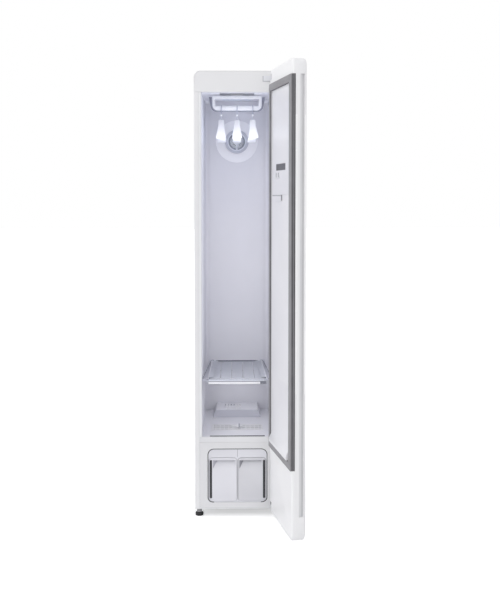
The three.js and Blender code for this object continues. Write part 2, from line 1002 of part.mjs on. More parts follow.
const fanMotorFront = dishBack + chamberWall + slideClearance + fanLength;
const fanFront = dishBack + fit;
const fanRear = fanMotorFront - slideClearance;
let fan = rod([0, fanFront, outletHeight], [0, fanRear, outletHeight], fanHubRadius, drumSides);
for (let i = 0; i < fanBladeCount; i += 1) {
  const blade = box(
    -fanBladeThickness / 2,
    fanBladeThickness / 2,
    -(fanRear - fanFront) / 2,
    (fanRear - fanFront) / 2,
    fanHubRadius - fanBladeThickness,
    fanRadius,
  ).rotate([0, 0, fanBladeTilt]).translate([0, (fanFront + fanRear) / 2, outletHeight]);
  fan = fan.add(turnAboutY(blade, 0, outletHeight, (2 * halfTurn * i) / fanBladeCount));
}
fan = fan.intersect(rod([0, fanFront, outletHeight], [0, fanRear, outletHeight], fanRadius, ringSides));
fan = fan.subtract(rod(
  [0, fanFront + fanBladeThickness, outletHeight],
  [0, fanRear + overrun, outletHeight],
  fanShaftRadius + fit,
));
add(cabinet, 'circulation_fan', fan, darkPlastic);

const fanMotor = rod(
  [0, fanMotorFront, outletHeight],
  [0, rearLimit, outletHeight],
  fanMotorRadius,
  drumSides,
).add(rod(
  [0, fanFront + 2 * fanBladeThickness, outletHeight],
  [0, fanMotorFront + fit, outletHeight],
  fanShaftRadius,
));
add(cabinet, 'circulation_fan_motor', fanMotor, darkPlastic);

// Moving hanger rail: a closed frame with a round-topped bar
const railFront = railY - railDepth / 2;
const railRear = railY + railDepth / 2;
const barTop = railBottom + railBarHeight;
const railOutline = shapeOf([
  ...filleted([
    point(0, railBottom),
    point(railBottomHalf, railBottom),
    point(railTopHalf, railTop),
    point(-railTopHalf, railTop),
    point(-railBottomHalf, railBottom),
    point(0, railBottom),
  ], evenly(railCorner)),
]);
const railHole = rectangle(
  -railBottomHalf + railArm,
  railBottomHalf - railArm,
  barTop,
  railTop - railHeadHeight,
  evenly(railCorner / 2),
);
const barHalf = railBottomHalf - railArm - railCorner / 2;
const barRound = railDepth / 2;
const barEnds = box(
  -barHalf,
  barHalf,
  railFront - overrun,
  railRear + overrun,
  barTop - barRound,
  barTop + fit,
);
const barSection = shapeOf([
  point(railFront, railBottom + barRound),
  point(railRear, railBottom + barRound),
  ...arc(railY, barTop - barRound, barRound, 0, halfTurn, 2 * cornerSteps),
]);
const hangerRail = alongY(railOutline, railFront, railRear)
  .subtract(alongY(railHole, railFront - overrun, railRear + overrun))
  .subtract(barEnds)
  .add(alongX(barSection, -barHalf - fit, barHalf + fit));
add(cabinet, 'hanger_rail', hangerRail, hangerPlastic);

// Carriage above the ceiling that carries the rail, with lugs on a fixed guide rod
const carriageBottom = ceilingLevel + chamberWall + carriageLift;
const carriageTop = carriageBottom + carriagePlateThickness;
const guideZ = carriageTop + lugHeight / 2;
const postFront = railRear + fit;
const windowHalf = railStroke + crankThrow + crankPinRadius + slideClearance;
const windowDepth = crankThrow + crankPinRadius + slideClearance;
let carriage = box(
  -carriagePlateHalf,
  carriagePlateHalf,
  carriagePlateFront,
  carriagePlateFront + carriagePlateDepth,
  carriageBottom,
  carriageTop,
).add(box(
  -carriagePostHalf,
  carriagePostHalf,
  postFront,
  postFront + carriagePostDepth,
  railTop - railHeadHeight,
  carriageTop,
)).subtract(box(
  -windowHalf,
  windowHalf,
  crankY - windowDepth,
  crankY + windowDepth,
  carriageBottom - overrun,
  carriageTop + overrun,
));
for (const side of [-1, 1]) {
  const x = side * lugPlace;
  carriage = carriage.add(box(
    x - lugWidth / 2,
    x + lugWidth / 2,
    guideY - lugDepth / 2,
    guideY + lugDepth / 2,
    carriageTop - fit,
    carriageTop + lugHeight,
  ));
}
carriage = carriage.subtract(rod(
  [-guideHalf, guideY, guideZ],
  [guideHalf, guideY, guideZ],
  guideRadius + fit,
));
add(cabinet, 'rail_carriage', carriage, darkPlastic);

let guide = rod([-guideHalf + fit, guideY, guideZ], [guideHalf - fit, guideY, guideZ], guideRadius);
for (const side of [-1, 1]) {
  const x = side * (guideHalf - lugWidth / 2);
  guide = guide.add(box(
    x - lugWidth / 2,
    x + lugWidth / 2,
    guideY - lugDepth / 2,
    guideY + lugDepth / 2,
    ceilingLevel + chamberWall + fit,
    guideZ + lugHeight / 2,
  ));
}
add(cabinet, 'guide_rod', guide, zincSteel);

const driveMotorTop = cabinetHeight - sheet - fit;
const driveMotorBottom = driveMotorTop - driveMotorHeight;
const discTop = driveMotorBottom - slideClearance;
const discBottom = discTop - crankDiscThickness;
const crank = rod([0, crankY, discBottom], [0, crankY, discTop], crankDiscRadius, drumSides)
  .add(rod(
    [crankThrow, crankY, carriageBottom],
    [crankThrow, crankY, discBottom + fit],
    crankPinRadius,
  ))
  .subtract(rod(
    [0, crankY, discBottom - overrun],
    [0, crankY, discTop + overrun],
    driveShaftRadius + fit,
  ));
add(cabinet, 'drive_crank', crank, zincSteel);

const driveMotor = rod(
  [0, crankY, driveMotorBottom],
  [0, crankY, driveMotorTop],
  driveMotorRadius,
  drumSides,
).add(rod(
  [0, crankY, discBottom + fit],
  [0, crankY, driveMotorBottom + fit],
  driveShaftRadius,
));
add(cabinet, 'rail_drive_motor', driveMotor, darkPlastic);

// Three clothes hangers on wire hooks over the rail
const hookInner = railBarHeight - railDepth / 2 - 1 / 2;
const hookCentreZ = barTop - hookInner;
const hookRadius = hookInner + fit + hookWire;
const neckThickHalf = hangerNeckThickness / 2;
const tipThickHalf = hangerTipThickness / 2;

function hookOf(x) {
  const start = THREE.MathUtils.degToRad(hookStart);
  const end = start - THREE.MathUtils.degToRad(hookSweep);
  const loop = arc(railY, hookCentreZ, hookRadius, start, end, 2 * cornerSteps);
  const line = [
    new THREE.Vector3(x, railY, hangerTop - hookSocket + fit),
    new THREE.Vector3(x, railY, hangerTop),
    new THREE.Vector3(x, railY, hookBallHeight),
    ...loop.map((p) => new THREE.Vector3(x, p.x, p.y)),
  ];
  const wire = new THREE.ExtrudeGeometry(
    new THREE.Shape(arc(0, 0, hookWire, 0, 2 * halfTurn, wireSides).slice(0, -1)),
    { steps: 3 * cornerSteps + wireSides, extrudePath: new THREE.CatmullRomCurve3(line) },
  );
  const ball = new THREE.SphereGeometry(hookBallRadius, pinSides, wireSides);
  ball.rotateX(quarterTurn);
  ball.translate(x, railY, hookBallHeight);
  return solid(wire).add(solid(ball));
}

function hangerOf(x) {
  const tipTop = hangerTop - hangerDrop;
  const sideHalf = [
    point(railY + hangerNeckHalf, hangerTop),
    point(railY + hangerReach - hangerTipRound, tipTop),
    ...arc(
      railY + hangerReach - hangerTipRound,
      tipTop - hangerTipRound,
      hangerTipRound,
      quarterTurn,
      0,
    ),
    point(railY + hangerReach - hangerTipRound / 2, tipTop - hangerTipHeight),
    point(railY + hangerReach / 2, tipTop - hangerTipHeight / 2 + hangerDrop / 3),
    point(railY + hangerNeckHalf, hangerTop - 2 * hangerArmHeight),
  ];
  const otherHalf = sideHalf.map((p) => point(2 * railY - p.x, p.y)).reverse();
  const side = alongX(shapeOf([...sideHalf, ...otherHalf]), x - tipThickHalf, x + tipThickHalf);
  const plan = shapeOf([
    point(x + neckThickHalf, railY - hangerNeckHalf),
    point(x + neckThickHalf, railY + hangerNeckHalf),
    point(x + tipThickHalf, railY + hangerReach - hangerTipRound),
    point(x + tipThickHalf - hangerTipRound, railY + hangerReach + fit),
    point(x - tipThickHalf + hangerTipRound, railY + hangerReach + fit),
    point(x - tipThickHalf, railY + hangerReach - hangerTipRound),
    point(x - neckThickHalf, railY + hangerNeckHalf),
    point(x - neckThickHalf, railY - hangerNeckHalf),
    point(x - tipThickHalf, railY - hangerReach + hangerTipRound),
    point(x - tipThickHalf + hangerTipRound, railY - hangerReach - fit),
    point(x + tipThickHalf - hangerTipRound, railY - hangerReach - fit),
    point(x + tipThickHalf, railY - hangerReach + hangerTipRound),
  ]);
  const body = side.intersect(alongZ(plan, tipTop - hangerTipHeight - overrun, hangerTop + overrun));
  return body.subtract(rod(
    [x, railY, hangerTop - hookSocket],
    [x, railY, hangerTop + overrun],
    hookWire + fit,
    wireSides,
  ));
}

const hangerNames = ['left', 'middle', 'right'];
hangerNames.forEach((name, i) => {
  const x = (i - 1) * hangerPitch;
  add(cabinet, `${name}_hanger`, hangerOf(x), hangerPlastic);
  add(cabinet, `${name}_hanger_hook`, hookOf(x), chromeWire);
});

// Shelf: a slotted rack with a round-edged face bar, narrower towards the back
const shelfRear = shelfFront + shelfDepth;
const shelfBottom = shelfTop - shelfPlate;
function shelfHalfAt(y) {
  return shelfFrontHalf - (shelfTaper * (y - shelfFront)) / shelfDepth;
}
function shelfPlan(inset) {
  return shapeOf([
    point(-shelfHalfAt(shelfFront) + inset, shelfFront + inset),
    point(shelfHalfAt(shelfFront) - inset, shelfFront + inset),
    point(shelfHalfAt(shelfRear) - inset, shelfRear - inset),
    point(-shelfHalfAt(shelfRear) + inset, shelfRear - inset),
  ]);
}
let rack = alongZ(shelfPlan(0), shelfBottom, shelfTop);
const slotLength = (shelfDepth - 2 * shelfSlotMargin - shelfSlotBridge) / 2;
for (const place of shelfSlotPlaceShares) {
  for (const start of [shelfFront + shelfSlotMargin, shelfRear - shelfSlotMargin - slotLength]) {
    rack = rack.subtract(box(
      place * shelfSlotPitch - shelfSlot / 2,
      place * shelfSlotPitch + shelfSlot / 2,
      start,
      start + slotLength,
      shelfBottom - overrun,
      shelfTop + overrun,
    ));
  }
}
for (const side of [-1, 1]) {
  rack = rack.add(rod(
    [side * (shelfFrontHalf - shelfRod), shelfFront + shelfRod, shelfTop - shelfRod],
    [side * (shelfHalfAt(shelfRear) - shelfRod), shelfRear, shelfTop - shelfRod],
    shelfRod,
    pinSides,
  ));
}
const faceTop = shelfTop - shelfFaceDrop;
const faceShape = rectangle(
  shelfFront,
  shelfFront + shelfFaceDepth,
  faceTop - shelfFaceHeight,
  faceTop,
  evenly(shelfRod),
);
rack = rack.add(alongX(faceShape, -shelfFrontHalf, shelfFrontHalf));
add(cabinet, 'shelf_rack', rack, chromeWire);

const ledgeTop = shelfTop - 2 * shelfRod - fit;
const ledgeRear = chamberDepth - fit;
const wallTaper = shelfTaper;
const ledgePlan = shapeOf([
  point(-halfChamber + fit, ledgeFront),
  point(-ledgeInner, ledgeFront),
  point(-ledgeInner, ledgeRear),
  point(-halfChamber + fit + wallTaper, ledgeRear),
]);
const ledgeWallPlan = shapeOf([
  point(-halfChamber + fit, ledgeFront),
  point(-halfChamber + fit + ledgeWall, ledgeFront),
  point(-halfChamber + fit + ledgeWall + wallTaper, ledgeRear),
  point(-halfChamber + fit + wallTaper, ledgeRear),
]);
const leftLedge = alongZ(ledgePlan, ledgeTop - ledgeThickness, ledgeTop)
  .add(alongZ(ledgeWallPlan, ledgeTop - ledgeThickness, ledgeTop + ledgeWallRise));
add(cabinet, 'left_shelf_ledge', leftLedge, chamberPlastic);
add(cabinet, 'right_shelf_ledge', leftLedge.mirror([1, 0, 0]), chamberPlastic);

// Tank bay: one moulding with two bays and a plain fascia over them
const bayOuter = bayHalf - bayGap;
const bayFloor = bayBottom + bayGap;
const bayRoof = bayTop - bayGap;
const fasciaBottom = bayRoof - bayFasciaHeight;
const bayRear = bayFront + bayDepth;
let bay = alongY(
  rectangle(-bayOuter, bayOuter, bayFloor, bayRoof, evenly(bayCorner - bayGap)),
  bayFront,
  bayRear,
).add(alongY(
  rectangle(
    -bayOuter - bayFlange,
    bayOuter + bayFlange,
    bayFloor - bayFlange,
    bayRoof + bayFlange,
    evenly(bayCorner),
  ),
  frontPlate + fit,
  frontPlate + fit + bayWall,
));
for (const side of [-1, 1]) {
  const inner = side * (bayDivider / 2);
  const outer = side * (bayOuter - bayWall);
  bay = bay.subtract(alongY(
    rectangle(
      Math.min(inner, outer),
      Math.max(inner, outer),
      bayFloor + bayWall,
      fasciaBottom,
      evenly(tankRound + slideClearance),
    ),
    bayFront - overrun,
    bayRear - bayWall,
  ));
}
bay = bay.subtract(box(
  -bayOuter + bayCorner,
  bayOuter - bayCorner,
  bayFront + bayWall,
  bayRear + overrun,
  fasciaBottom + bayWall,
  bayRoof - bayWall,
));
add(cabinet, 'tank_bay', bay, tankPlastic);

// Water tanks: open vessels with a finger scoop, a water gauge groove and a loose lid
const tankInner = bayDivider / 2 + slideClearance;
const tankOuter = bayOuter - bayWall - slideClearance;
const tankBottom = bayFloor + bayWall + fit;
const tankTop = fasciaBottom - slideClearance;
const tankRear = bayRear - bayWall - slideClearance;
const scoopTop = tankTop - scoopTopDrop;

function tankParts(side) {
  const left = side < 0 ? -tankOuter : tankInner;
  const right = side < 0 ? -tankInner : tankOuter;
  const scoopLeft = side < 0 ? right - scoopInset - scoopWidth : left + scoopInset;
  const scoopRight = scoopLeft + scoopWidth;
  const scoopFace = tankFaceY - overrun;
  const spread = scoopLeftSlant * (overrun / scoopDepth);
  const spreadRight = scoopRightSlant * (overrun / scoopDepth);
  const scoopFloor = scoopTop - scoopHeight - scoopHeight * (overrun / scoopDepth);
  const scoop = hull([
    [scoopLeft - spread, scoopFace, scoopTop],
    [scoopRight + spreadRight, scoopFace, scoopTop],
    [scoopLeft - spread, scoopFace, scoopFloor],
    [scoopRight + spreadRight, scoopFace, scoopFloor],
    [scoopLeft + scoopLeftSlant, tankFaceY + scoopDepth, scoopTop],
    [scoopRight - scoopRightSlant, tankFaceY + scoopDepth, scoopTop],
  ]);
  const gaugeLeft = side < 0 ? left + gaugeInset : right - gaugeInset - gaugeWidth;
  const gauge = alongY(
    rectangle(
      gaugeLeft,
      gaugeLeft + gaugeWidth,
      tankBottom + gaugeBottom,
      tankBottom + gaugeBottom + gaugeHeight,
      evenly(gaugeWidth / 2 - fit),
    ),
    tankFaceY - overrun,
    tankFaceY + gaugeDepth,
  );
  const lidTop = tankTop - lidDrop;
  const seatLevel = lidTop - lidThickness - fit;
  const cavity = box(
    left + tankWall,
    right - tankWall,
    tankFaceY + tankFrontBlock + lidSeat,
    tankRear - tankWall - lidSeat,
    tankBottom + tankWall + tankRound / 2,
    tankTop + overrun,
  ).add(box(
    left + tankWall,
    right - tankWall,
    tankFaceY + tankFrontBlock,
    tankRear - tankWall,
    seatLevel,
    tankTop + overrun,
  )).add(alongY(
    rectangle(
      left + tankWall,
      right - tankWall,
      tankBottom + tankWall,
      scoopTop - scoopHeight - tankWall,
      [tankRound - tankWall, tankRound - tankWall, 0, 0],
    ),
    tankFaceY + tankWall,
    tankRear - tankWall - lidSeat,
  ));
  const vessel = alongY(
    rectangle(left, right, tankBottom, tankTop, evenly(tankRound)),
    tankFaceY,
    tankRear,
  ).subtract(cavity).subtract(scoop).subtract(gauge);
  const plug = [(left + right) / 2, (tankFaceY + tankFrontBlock + tankRear) / 2];
  const lid = box(
    left + tankWall + fit,
    right - tankWall - fit,
    tankFaceY + tankFrontBlock + fit,
    tankRear - tankWall - fit,
    lidTop - lidThickness,
    lidTop,
  ).add(rod([...plug, lidTop - fit], [...plug, lidTop + lidPlugRise], lidPlugRadius, drumSides));
  return { vessel, lid };
}

for (const [name, side] of [['supply_tank', -1], ['drain_tank', 1]]) {
  const { vessel, lid } = tankParts(side);
  add(cabinet, name, vessel, tankPlastic);
  add(cabinet, `${name}_lid`, lid, frostedPlastic);
}

// Finned coils of the heat pump, standing on the base pan
function coil(front) {
  const bottom = panTop + fit;
  const top = bottom + coilHeight;
  let fins = box(coilLeft, coilRight, front, front + coilDepth, bottom, bottom + coilFin);
  for (let i = 0; i < coilFinCount; i += 1) {
    const x = coilLeft + ((coilRight - coilLeft - coilFin) * i) / (coilFinCount - 1);
    fins = fins.add(box(x, x + coilFin, front, front + coilDepth, bottom, top));
  }
  for (const share of coilTubeShares) {
    const z = bottom + coilHeight * share;
    const y = front + coilDepth / 2;
    fins = fins.add(rod([coilLeft + fit, y, z], [coilRight - fit, y, z], coilTube, wireSides));
  }
  return fins;
}
add(cabinet, 'evaporator', coil(evaporatorFront), aluminiumFin);
add(cabinet, 'condenser', coil(condenserFront), aluminiumFin);

const compressorBottom = panTop + fit;
const compressorTop = compressorBottom + compressorHeight;
const compressor = turnedZ([
  [0, compressorBottom],
  [compressorFoot, compressorBottom],
  [compressorFoot, compressorBottom + compressorFootHeight],
  [compressorRadius, compressorBottom + 2 * compressorFootHeight],
  [compressorRadius, compressorTop - compressorDome],
  [compressorRadius - compressorDome / 2, compressorTop - compressorDome / 3],
  [compressorRadius / 2, compressorTop],
  [0, compressorTop],
], compressorX, compressorY);
add(cabinet, 'compressor', compressor, blackEnamel);

const boilerBottom = panTop + fit;
const boilerTop = boilerBottom + boilerHeight;
const boilerX = (boilerLeft + boilerRight) / 2;
const boilerY = boilerFront + boilerDepth / 3;
const boiler = alongY(
  rectangle(boilerLeft, boilerRight, boilerBottom, boilerTop, evenly(boilerRound)),
  boilerFront,
  boilerFront + boilerDepth,
).add(rod(
  [boilerX, boilerY, boilerTop - fit],
  [boilerX, boilerY, boilerTop + boilerSpoutHeight],
  boilerSpoutRadius,
));
add(cabinet, 'steam_generator', boiler, zincSteel);

const pumpBottom = panTop + fit;
const pumpTop = pumpBottom + pumpHeight;
const waterPump = rod([pumpX, pumpY, pumpBottom], [pumpX, pumpY, pumpTop], pumpRadius, drumSides)
  .add(rod(
    [pumpX, pumpY, pumpTop - fit],
    [pumpX, pumpY, pumpTop + pumpSpoutLength],
    pumpSpoutRadius,
  ));
add(cabinet, 'water_pump', waterPump, darkPlastic);

// Drying blower: a drum housing open at its inlet and outlet, with a bladed wheel on its boss
const blowerCavity = blowerRadius - blowerWall;
const blowerBack = rearLimit - blowerWall;
const outletLeft = blowerX - blowerOutletWidth / 2;
const blower = rod(
  [blowerX, blowerFront, blowerHeight],
  [blowerX, rearLimit, blowerHeight],
  blowerRadius,
  ringSides,
).add(box(
  outletLeft - blowerWall,
  outletLeft + blowerOutletWidth + blowerWall,
  blowerFront,
  rearLimit,
  blowerHeight,
  blowerHeight + blowerRadius + blowerOutletHeight,
)).subtract(rod(
  [blowerX, blowerFront + blowerWall, blowerHeight],
  [blowerX, blowerBack, blowerHeight],
  blowerCavity,
  ringSides,
)).subtract(box(
  outletLeft,
  outletLeft + blowerOutletWidth,
  blowerFront + blowerWall,
  blowerBack,
  blowerHeight,
  blowerHeight + blowerRadius + blowerOutletHeight + overrun,
)).subtract(rod(
  [blowerX, blowerFront - overrun, blowerHeight],
  [blowerX, blowerFront + overrun, blowerHeight],
  blowerInlet,
  ringSides,
)).add(rod(
  [blowerX, blowerBack - wheelLength / 2, blowerHeight],
  [blowerX, blowerBack + fit, blowerHeight],
  blowerBossRadius,
));
add(cabinet, 'blower_housing', blower, darkPlastic);

const wheelRear = blowerBack - wheelRunning;
const wheelFront = wheelRear - wheelLength;
let wheel = rod(
  [blowerX, wheelRear - wheelDisc, blowerHeight],
  [blowerX, wheelRear, blowerHeight],
  wheelRadius,
  ringSides,
).add(rod(
  [blowerX, blowerBack - wheelLength / 2 - wheelDisc - fit, blowerHeight],
  [blowerX, wheelRear, blowerHeight],
  wheelHubRadius,
  drumSides,
)).subtract(rod(
  [blowerX, blowerBack - wheelLength / 2 - fit, blowerHeight],
  [blowerX, wheelRear + overrun, blowerHeight],
  blowerBossRadius + fit,
));
for (let i = 0; i < wheelBladeCount; i += 1) {
  const blade = box(
    blowerX - wheelBlade / 2,
    blowerX + wheelBlade / 2,
    wheelFront,
    wheelRear - fit,
    blowerHeight + wheelRadius - wheelBladeDepth,
    blowerHeight + wheelRadius - wheelBlade / 2,
  );
  wheel = wheel.add(turnAboutY(blade, blowerX, blowerHeight, (2 * halfTurn * i) / wheelBladeCount));
}
add(cabinet, 'blower_wheel', wheel, frostedPlastic);

const controlBox = alongY(
  rectangle(
    controlLeft,
    innerHalf,
    controlBottom,
    controlBottom + controlHeight,
    evenly(controlRound),
  ),
  controlFront,
  controlFront + controlDepth,
);
add(cabinet, 'control_box', controlBox, darkPlastic);

// Power inlet in the back panel, a recessed socket with a flange
const inletBack = backPanelRear + fit;
const inletBodyFront = backPanelFront - inletBody;
const powerInlet = box(
  inletX - inletWidth / 2,
  inletX + inletWidth / 2,
  inletBodyFront,
  inletBack + fit,
  inletHeight - inletTall / 2,
  inletHeight + inletTall / 2,
).add(box(
  inletX - inletWidth / 2 - inletFlange,
  inletX + inletWidth / 2 + inletFlange,
  inletBack,
  inletBack + inletFlangeThickness,
  inletHeight - inletTall / 2 - inletFlange,
  inletHeight + inletTall / 2 + inletFlange,
)).subtract(box(
  inletX - inletWidth / 2 + frontPlate,
  inletX + inletWidth / 2 - frontPlate,
  inletBack + inletFlangeThickness - inletSocketDepth,
  inletBack + inletFlangeThickness + overrun,
  inletHeight - inletTall / 2 + frontPlate,
  inletHeight + inletTall / 2 - frontPlate,
));
add(cabinet, 'power_inlet', powerInlet, darkPlastic);

// Levelling feet: a round pad, a collar under the pan and a threaded stem through it
for (const foot of feet) {
  const pad = turnedZ([
    [0, 0],
    [footRadius, 0],
    [footRadius, footPadHeight - footPadRound],
    [footRadius - footPadRound, footPadHeight],
    [footCollarRadius, footPadHeight],
    [footCollarRadius, bodyBottom - fit],
    [footStemRadius, bodyBottom - fit],
    [footStemRadius, footStemTop],
    [0, footStemTop],
  ], foot.x, foot.y);
  add(cabinet, foot.name, pad, blackRubber);
}

// Hinge brackets, screwed to the front of the body, with the pin that the door turns on
function hingeBracket(plateBottom, plateWidth, pinUp) {
  const plateRight = hingeX + hingePlateReach;
  const plateTop = plateBottom + hingePlateHeight;
  const earBottom = pinUp ? plateBottom : plateTop - hingeEarThickness;
  const earTop = earBottom + hingeEarThickness;
  const earPlan = shapeOf([
    point(hingeX - hingeEarWidth / 2, -fit - hingePlateThickness / 2),
    ...arc(hingeX, hingeY, hingeEarEnd, halfTurn, 2 * halfTurn, 2 * cornerSteps),
    point(hingeX + hingeEarWidth / 2, -fit - hingePlateThickness / 2),
  ]);
  const pinStart = pinUp ? earTop - fit : earBottom + fit;
  const blockGap = pinUp ? hingePocketTopMargin + hingePlateHeight - hingeEarThickness
    : hingePocketBottomMargin + hingePlateHeight - hingeEarThickness;
  const reach = blockGap + hingePinLength;
  const pinEnd = pinUp ? earTop + reach : earBottom - reach;
  return box(
    plateRight - plateWidth,
    plateRight,
    -fit - hingePlateThickness,
    -fit,
    plateBottom,
    plateTop,
  ).add(alongZ(earPlan, earBottom, earTop)).add(rod(
    [hingeX, hingeY, Math.min(pinStart, pinEnd)],
    [hingeX, hingeY, Math.max(pinStart, pinEnd)],
    hingePinRadius,
  ));
}
const upperBracket = hingeBracket(upperPlateBottom, upperPlateWidth, false);
const lowerBracket = hingeBracket(lowerPlateBottom, lowerPlateWidth, true);
add(cabinet, 'upper_hinge_bracket', upperBracket, whitePaint);
add(cabinet, 'lower_hinge_bracket', lowerBracket, whitePaint);

// Door group: drawn closed, turned about the hinge pins
const doorSwing = new THREE.Group();
doorSwing.position.set(hingeX, hingeY, 0);
doorSwing.rotation.z = THREE.MathUtils.degToRad(doorOpenAngle);
const door = new THREE.Group();
door.position.set(-hingeX, -hingeY, 0);
doorSwing.add(door);
cabinet.add(doorSwing);

function doorOutline(inset, radius = cornerRadius - inset) {
  return rectangle(
    -halfWidth + inset,
    halfWidth - inset,
    doorBottom + inset,
    cabinetHeight - inset,
    evenly(radius),
  );
}

// Door shell: a deep moulding with rounded edges, hollow and open to the front
const slab = new THREE.ExtrudeGeometry(doorOutline(doorEdgeRound), {
  depth: doorThickness - 2 * doorEdgeRound,
  bevelEnabled: true,
  bevelThickness: doorEdgeRound,
  bevelSize: doorEdgeRound,
  bevelSegments: edgeSteps,
  steps: 1,
});
slab.rotateX(quarterTurn);
slab.translate(0, doorInnerY - doorEdgeRound, 0);
const glassBack = doorFrontY + glassThickness + fit;
const ledgeBack = glassBack + glassLedgeThickness;
const hollowBack = doorInnerY - doorFace;
const glassInset = doorEdgeRound;
const groove = box(
  -halfWidth - overrun,
  -halfWidth + grooveDepth,
  doorFrontY + grooveFromFront,
  doorFrontY + grooveFromFront + grooveWidth,
  grooveBottom,
  grooveTop,
);
const grooveHousing = box(
  -halfWidth + doorWall / 2,
  -halfWidth + grooveDepth + grooveWall,
  glassBack,
  doorFrontY + grooveFromFront + grooveWidth + grooveWall,
  grooveBottom - grooveWall,
  grooveTop + grooveWall,
);
const hingeBlockTop = upperPlateBottom - hingePocketBottomMargin;
const lowerBlockBottom = lowerPlateBottom + hingePlateHeight + hingePocketTopMargin;
const blockLeft = halfWidth - hingePocketWidth - doorWall;
const blockFront = doorInnerY - hingePocketDepth;
const blockRight = halfWidth - doorWall / 2;
const blockBack = doorInnerY - doorFace / 2;
const upperBlock = box(
  blockLeft,
  blockRight,
  blockFront,
  blockBack,
  hingeBlockTop - hingeBlockHeight,
  hingeBlockTop,
);
const lowerBlock = box(
  blockLeft,
  blockRight,
  blockFront,
  blockBack,
  lowerBlockBottom,
  lowerBlockBottom + hingeBlockHeight,
);
function hingePocket(bottom, top) {
  return box(
    halfWidth - hingePocketWidth,
    halfWidth + overrun,
    blockFront + fit,
    doorInnerY + overrun,
    bottom,
    top,
  );
}
const sealOuterLeft = -halfWidth + sealFreeInset;
const sealOuterRight = halfWidth - sealHingeInset;
const sealRebate = box(
  -halfWidth - overrun,
  sealOuterLeft + sealSkirtThickness + fit,
  doorInnerY - sealSkirt - fit,
  doorInnerY + overrun,
  sealBottom - fit,
  sealTop + fit,
);
const windowLeft = sealOuterLeft + sealBand - liningOverlap;
const windowRight = sealOuterRight - sealBand + liningOverlap;
const windowBottom = sealBottom + sealBand - liningOverlap;
const windowTop = sealTop - sealBand + liningOverlap;
const pinBore = rod(
  [hingeX, hingeY, hingeBlockTop - hingePinLength - fit],
  [hingeX, hingeY, hingeBlockTop + overrun],
  hingePinRadius + fit,
).add(rod(
  [hingeX, hingeY, lowerBlockBottom - overrun],
  [hingeX, hingeY, lowerBlockBottom + hingePinLength + fit],
  hingePinRadius + fit,
));
const shell = solid(slab)
  .subtract(alongY(doorOutline(glassInset), doorFrontY - overrun, glassBack))
  .subtract(alongY(doorOutline(glassInset + glassLedge), glassBack - overrun, ledgeBack))
  .subtract(alongY(doorOutline(doorWall), ledgeBack, hollowBack))
  .subtract(box(
    windowLeft,
    windowRight,
    hollowBack - overrun,
    doorInnerY + overrun,
    windowBottom,
    windowTop,
  ))
  .add(grooveHousing)
  .add(upperBlock)
  .add(lowerBlock)
  .subtract(groove)
  .subtract(sealRebate)
  .subtract(hingePocket(hingeBlockTop, upperPlateBottom + hingePlateHeight + hingePocketBottomMargin))
  .subtract(hingePocket(lowerPlateBottom - hingePocketBottomMargin, lowerBlockBottom))
  .subtract(pinBore);
add(door, 'door_shell', shell, glossWhite);

const doorGlass = alongY(doorOutline(glassInset + fit), doorFrontY, doorFrontY + glassThickness);
add(door, 'door_glass', doorGlass, frontGlass);

// Door lining: flush panel with a drip lip and a well behind the press cover
const wellLeft = coverLeft + pressWellMargin;
const wellRight = coverRight - pressWellMargin;
const wellBottom = coverBottom + 3 * pressWellMargin;
const wellTop = coverTop - 3 * pressWellMargin;
const liningFront = doorInnerY - fit;
const wellFloor = liningFront - pressWellDepth;
const recessPlan = [coverLeft - fit, coverRight + fit];
const recessRise = [coverBottom - fit, coverTop + fit];
const dripShape = shapeOf([
  point(liningFront - liningThickness / 2, dripBottom),
  point(liningFront + dripStand, dripBottom),
  point(liningFront + dripStand, dripBottom + dripLipHeight),
  point(liningFront, dripTop),
  point(liningFront - liningThickness / 2, dripTop),
]);
const pinX = coverLeft + coverThickness / 2;
const recessFloor = liningFront - coverRecess;
const coverBack = recessFloor + fit;
const pinY = coverBack + coverThickness / 2;
let lining = box(
  windowLeft + fit,
  windowRight - fit,
  liningFront - liningThickness,
  liningFront,
  windowBottom + fit,
  windowTop - fit,
).add(alongX(dripShape, windowLeft + dripMargin, windowRight - dripMargin)).add(box(
  wellLeft - liningThickness,
  wellRight + liningThickness,
  wellFloor - liningThickness,
  liningFront - liningThickness / 2,
  wellBottom - liningThickness,
  wellTop + liningThickness,
)).add(box(
  recessPlan[0] - liningThickness,
  recessPlan[1] + liningThickness,
  recessFloor - liningThickness,
  liningFront - liningThickness / 2,
  recessRise[0] - liningThickness,
  recessRise[1] + liningThickness,
)).subtract(box(
  ...recessPlan,
  recessFloor,
  liningFront + overrun,
  ...recessRise,
)).subtract(box(
  wellLeft,
  wellRight,
  wellFloor,
  liningFront + overrun,
  wellBottom,
  wellTop,
));
const lugBands = [
  [coverTop + fit, coverTop + fit + coverLugHeight],
  [coverBottom - fit - coverLugHeight, coverBottom - fit],
];
for (const [bottom, top] of lugBands) {
  lining = lining.add(box(
    pinX - coverLugHalf,
    pinX + coverLugHalf,
    pinY - coverLugHalf,
    pinY + coverLugHalf,
    bottom,
    top,
  )).subtract(rod([pinX, pinY, bottom - fit], [pinX, pinY, top + fit], coverPinRadius + fit));
}
add(door, 'door_lining', lining, liningWhite);

const sealPlan = alongY(
  rectangle(sealOuterLeft, sealOuterRight, sealBottom, sealTop),
  doorInnerY + fit,
  doorInnerY + sealStand,
).subtract(alongY(
  rectangle(
    sealOuterLeft + sealBand,
    sealOuterRight - sealBand,
    sealBottom + sealBand,
    sealTop - sealBand,
  ),
  doorInnerY - overrun,
  doorInnerY + sealStand + overrun,
)).add(box(
  sealOuterLeft,
  sealOuterLeft + sealSkirtThickness,
  doorInnerY - sealSkirt,
  doorInnerY + fit + fit,
  sealBottom,
  sealTop,
));
add(door, 'door_seal', sealPlan, sealRubber);

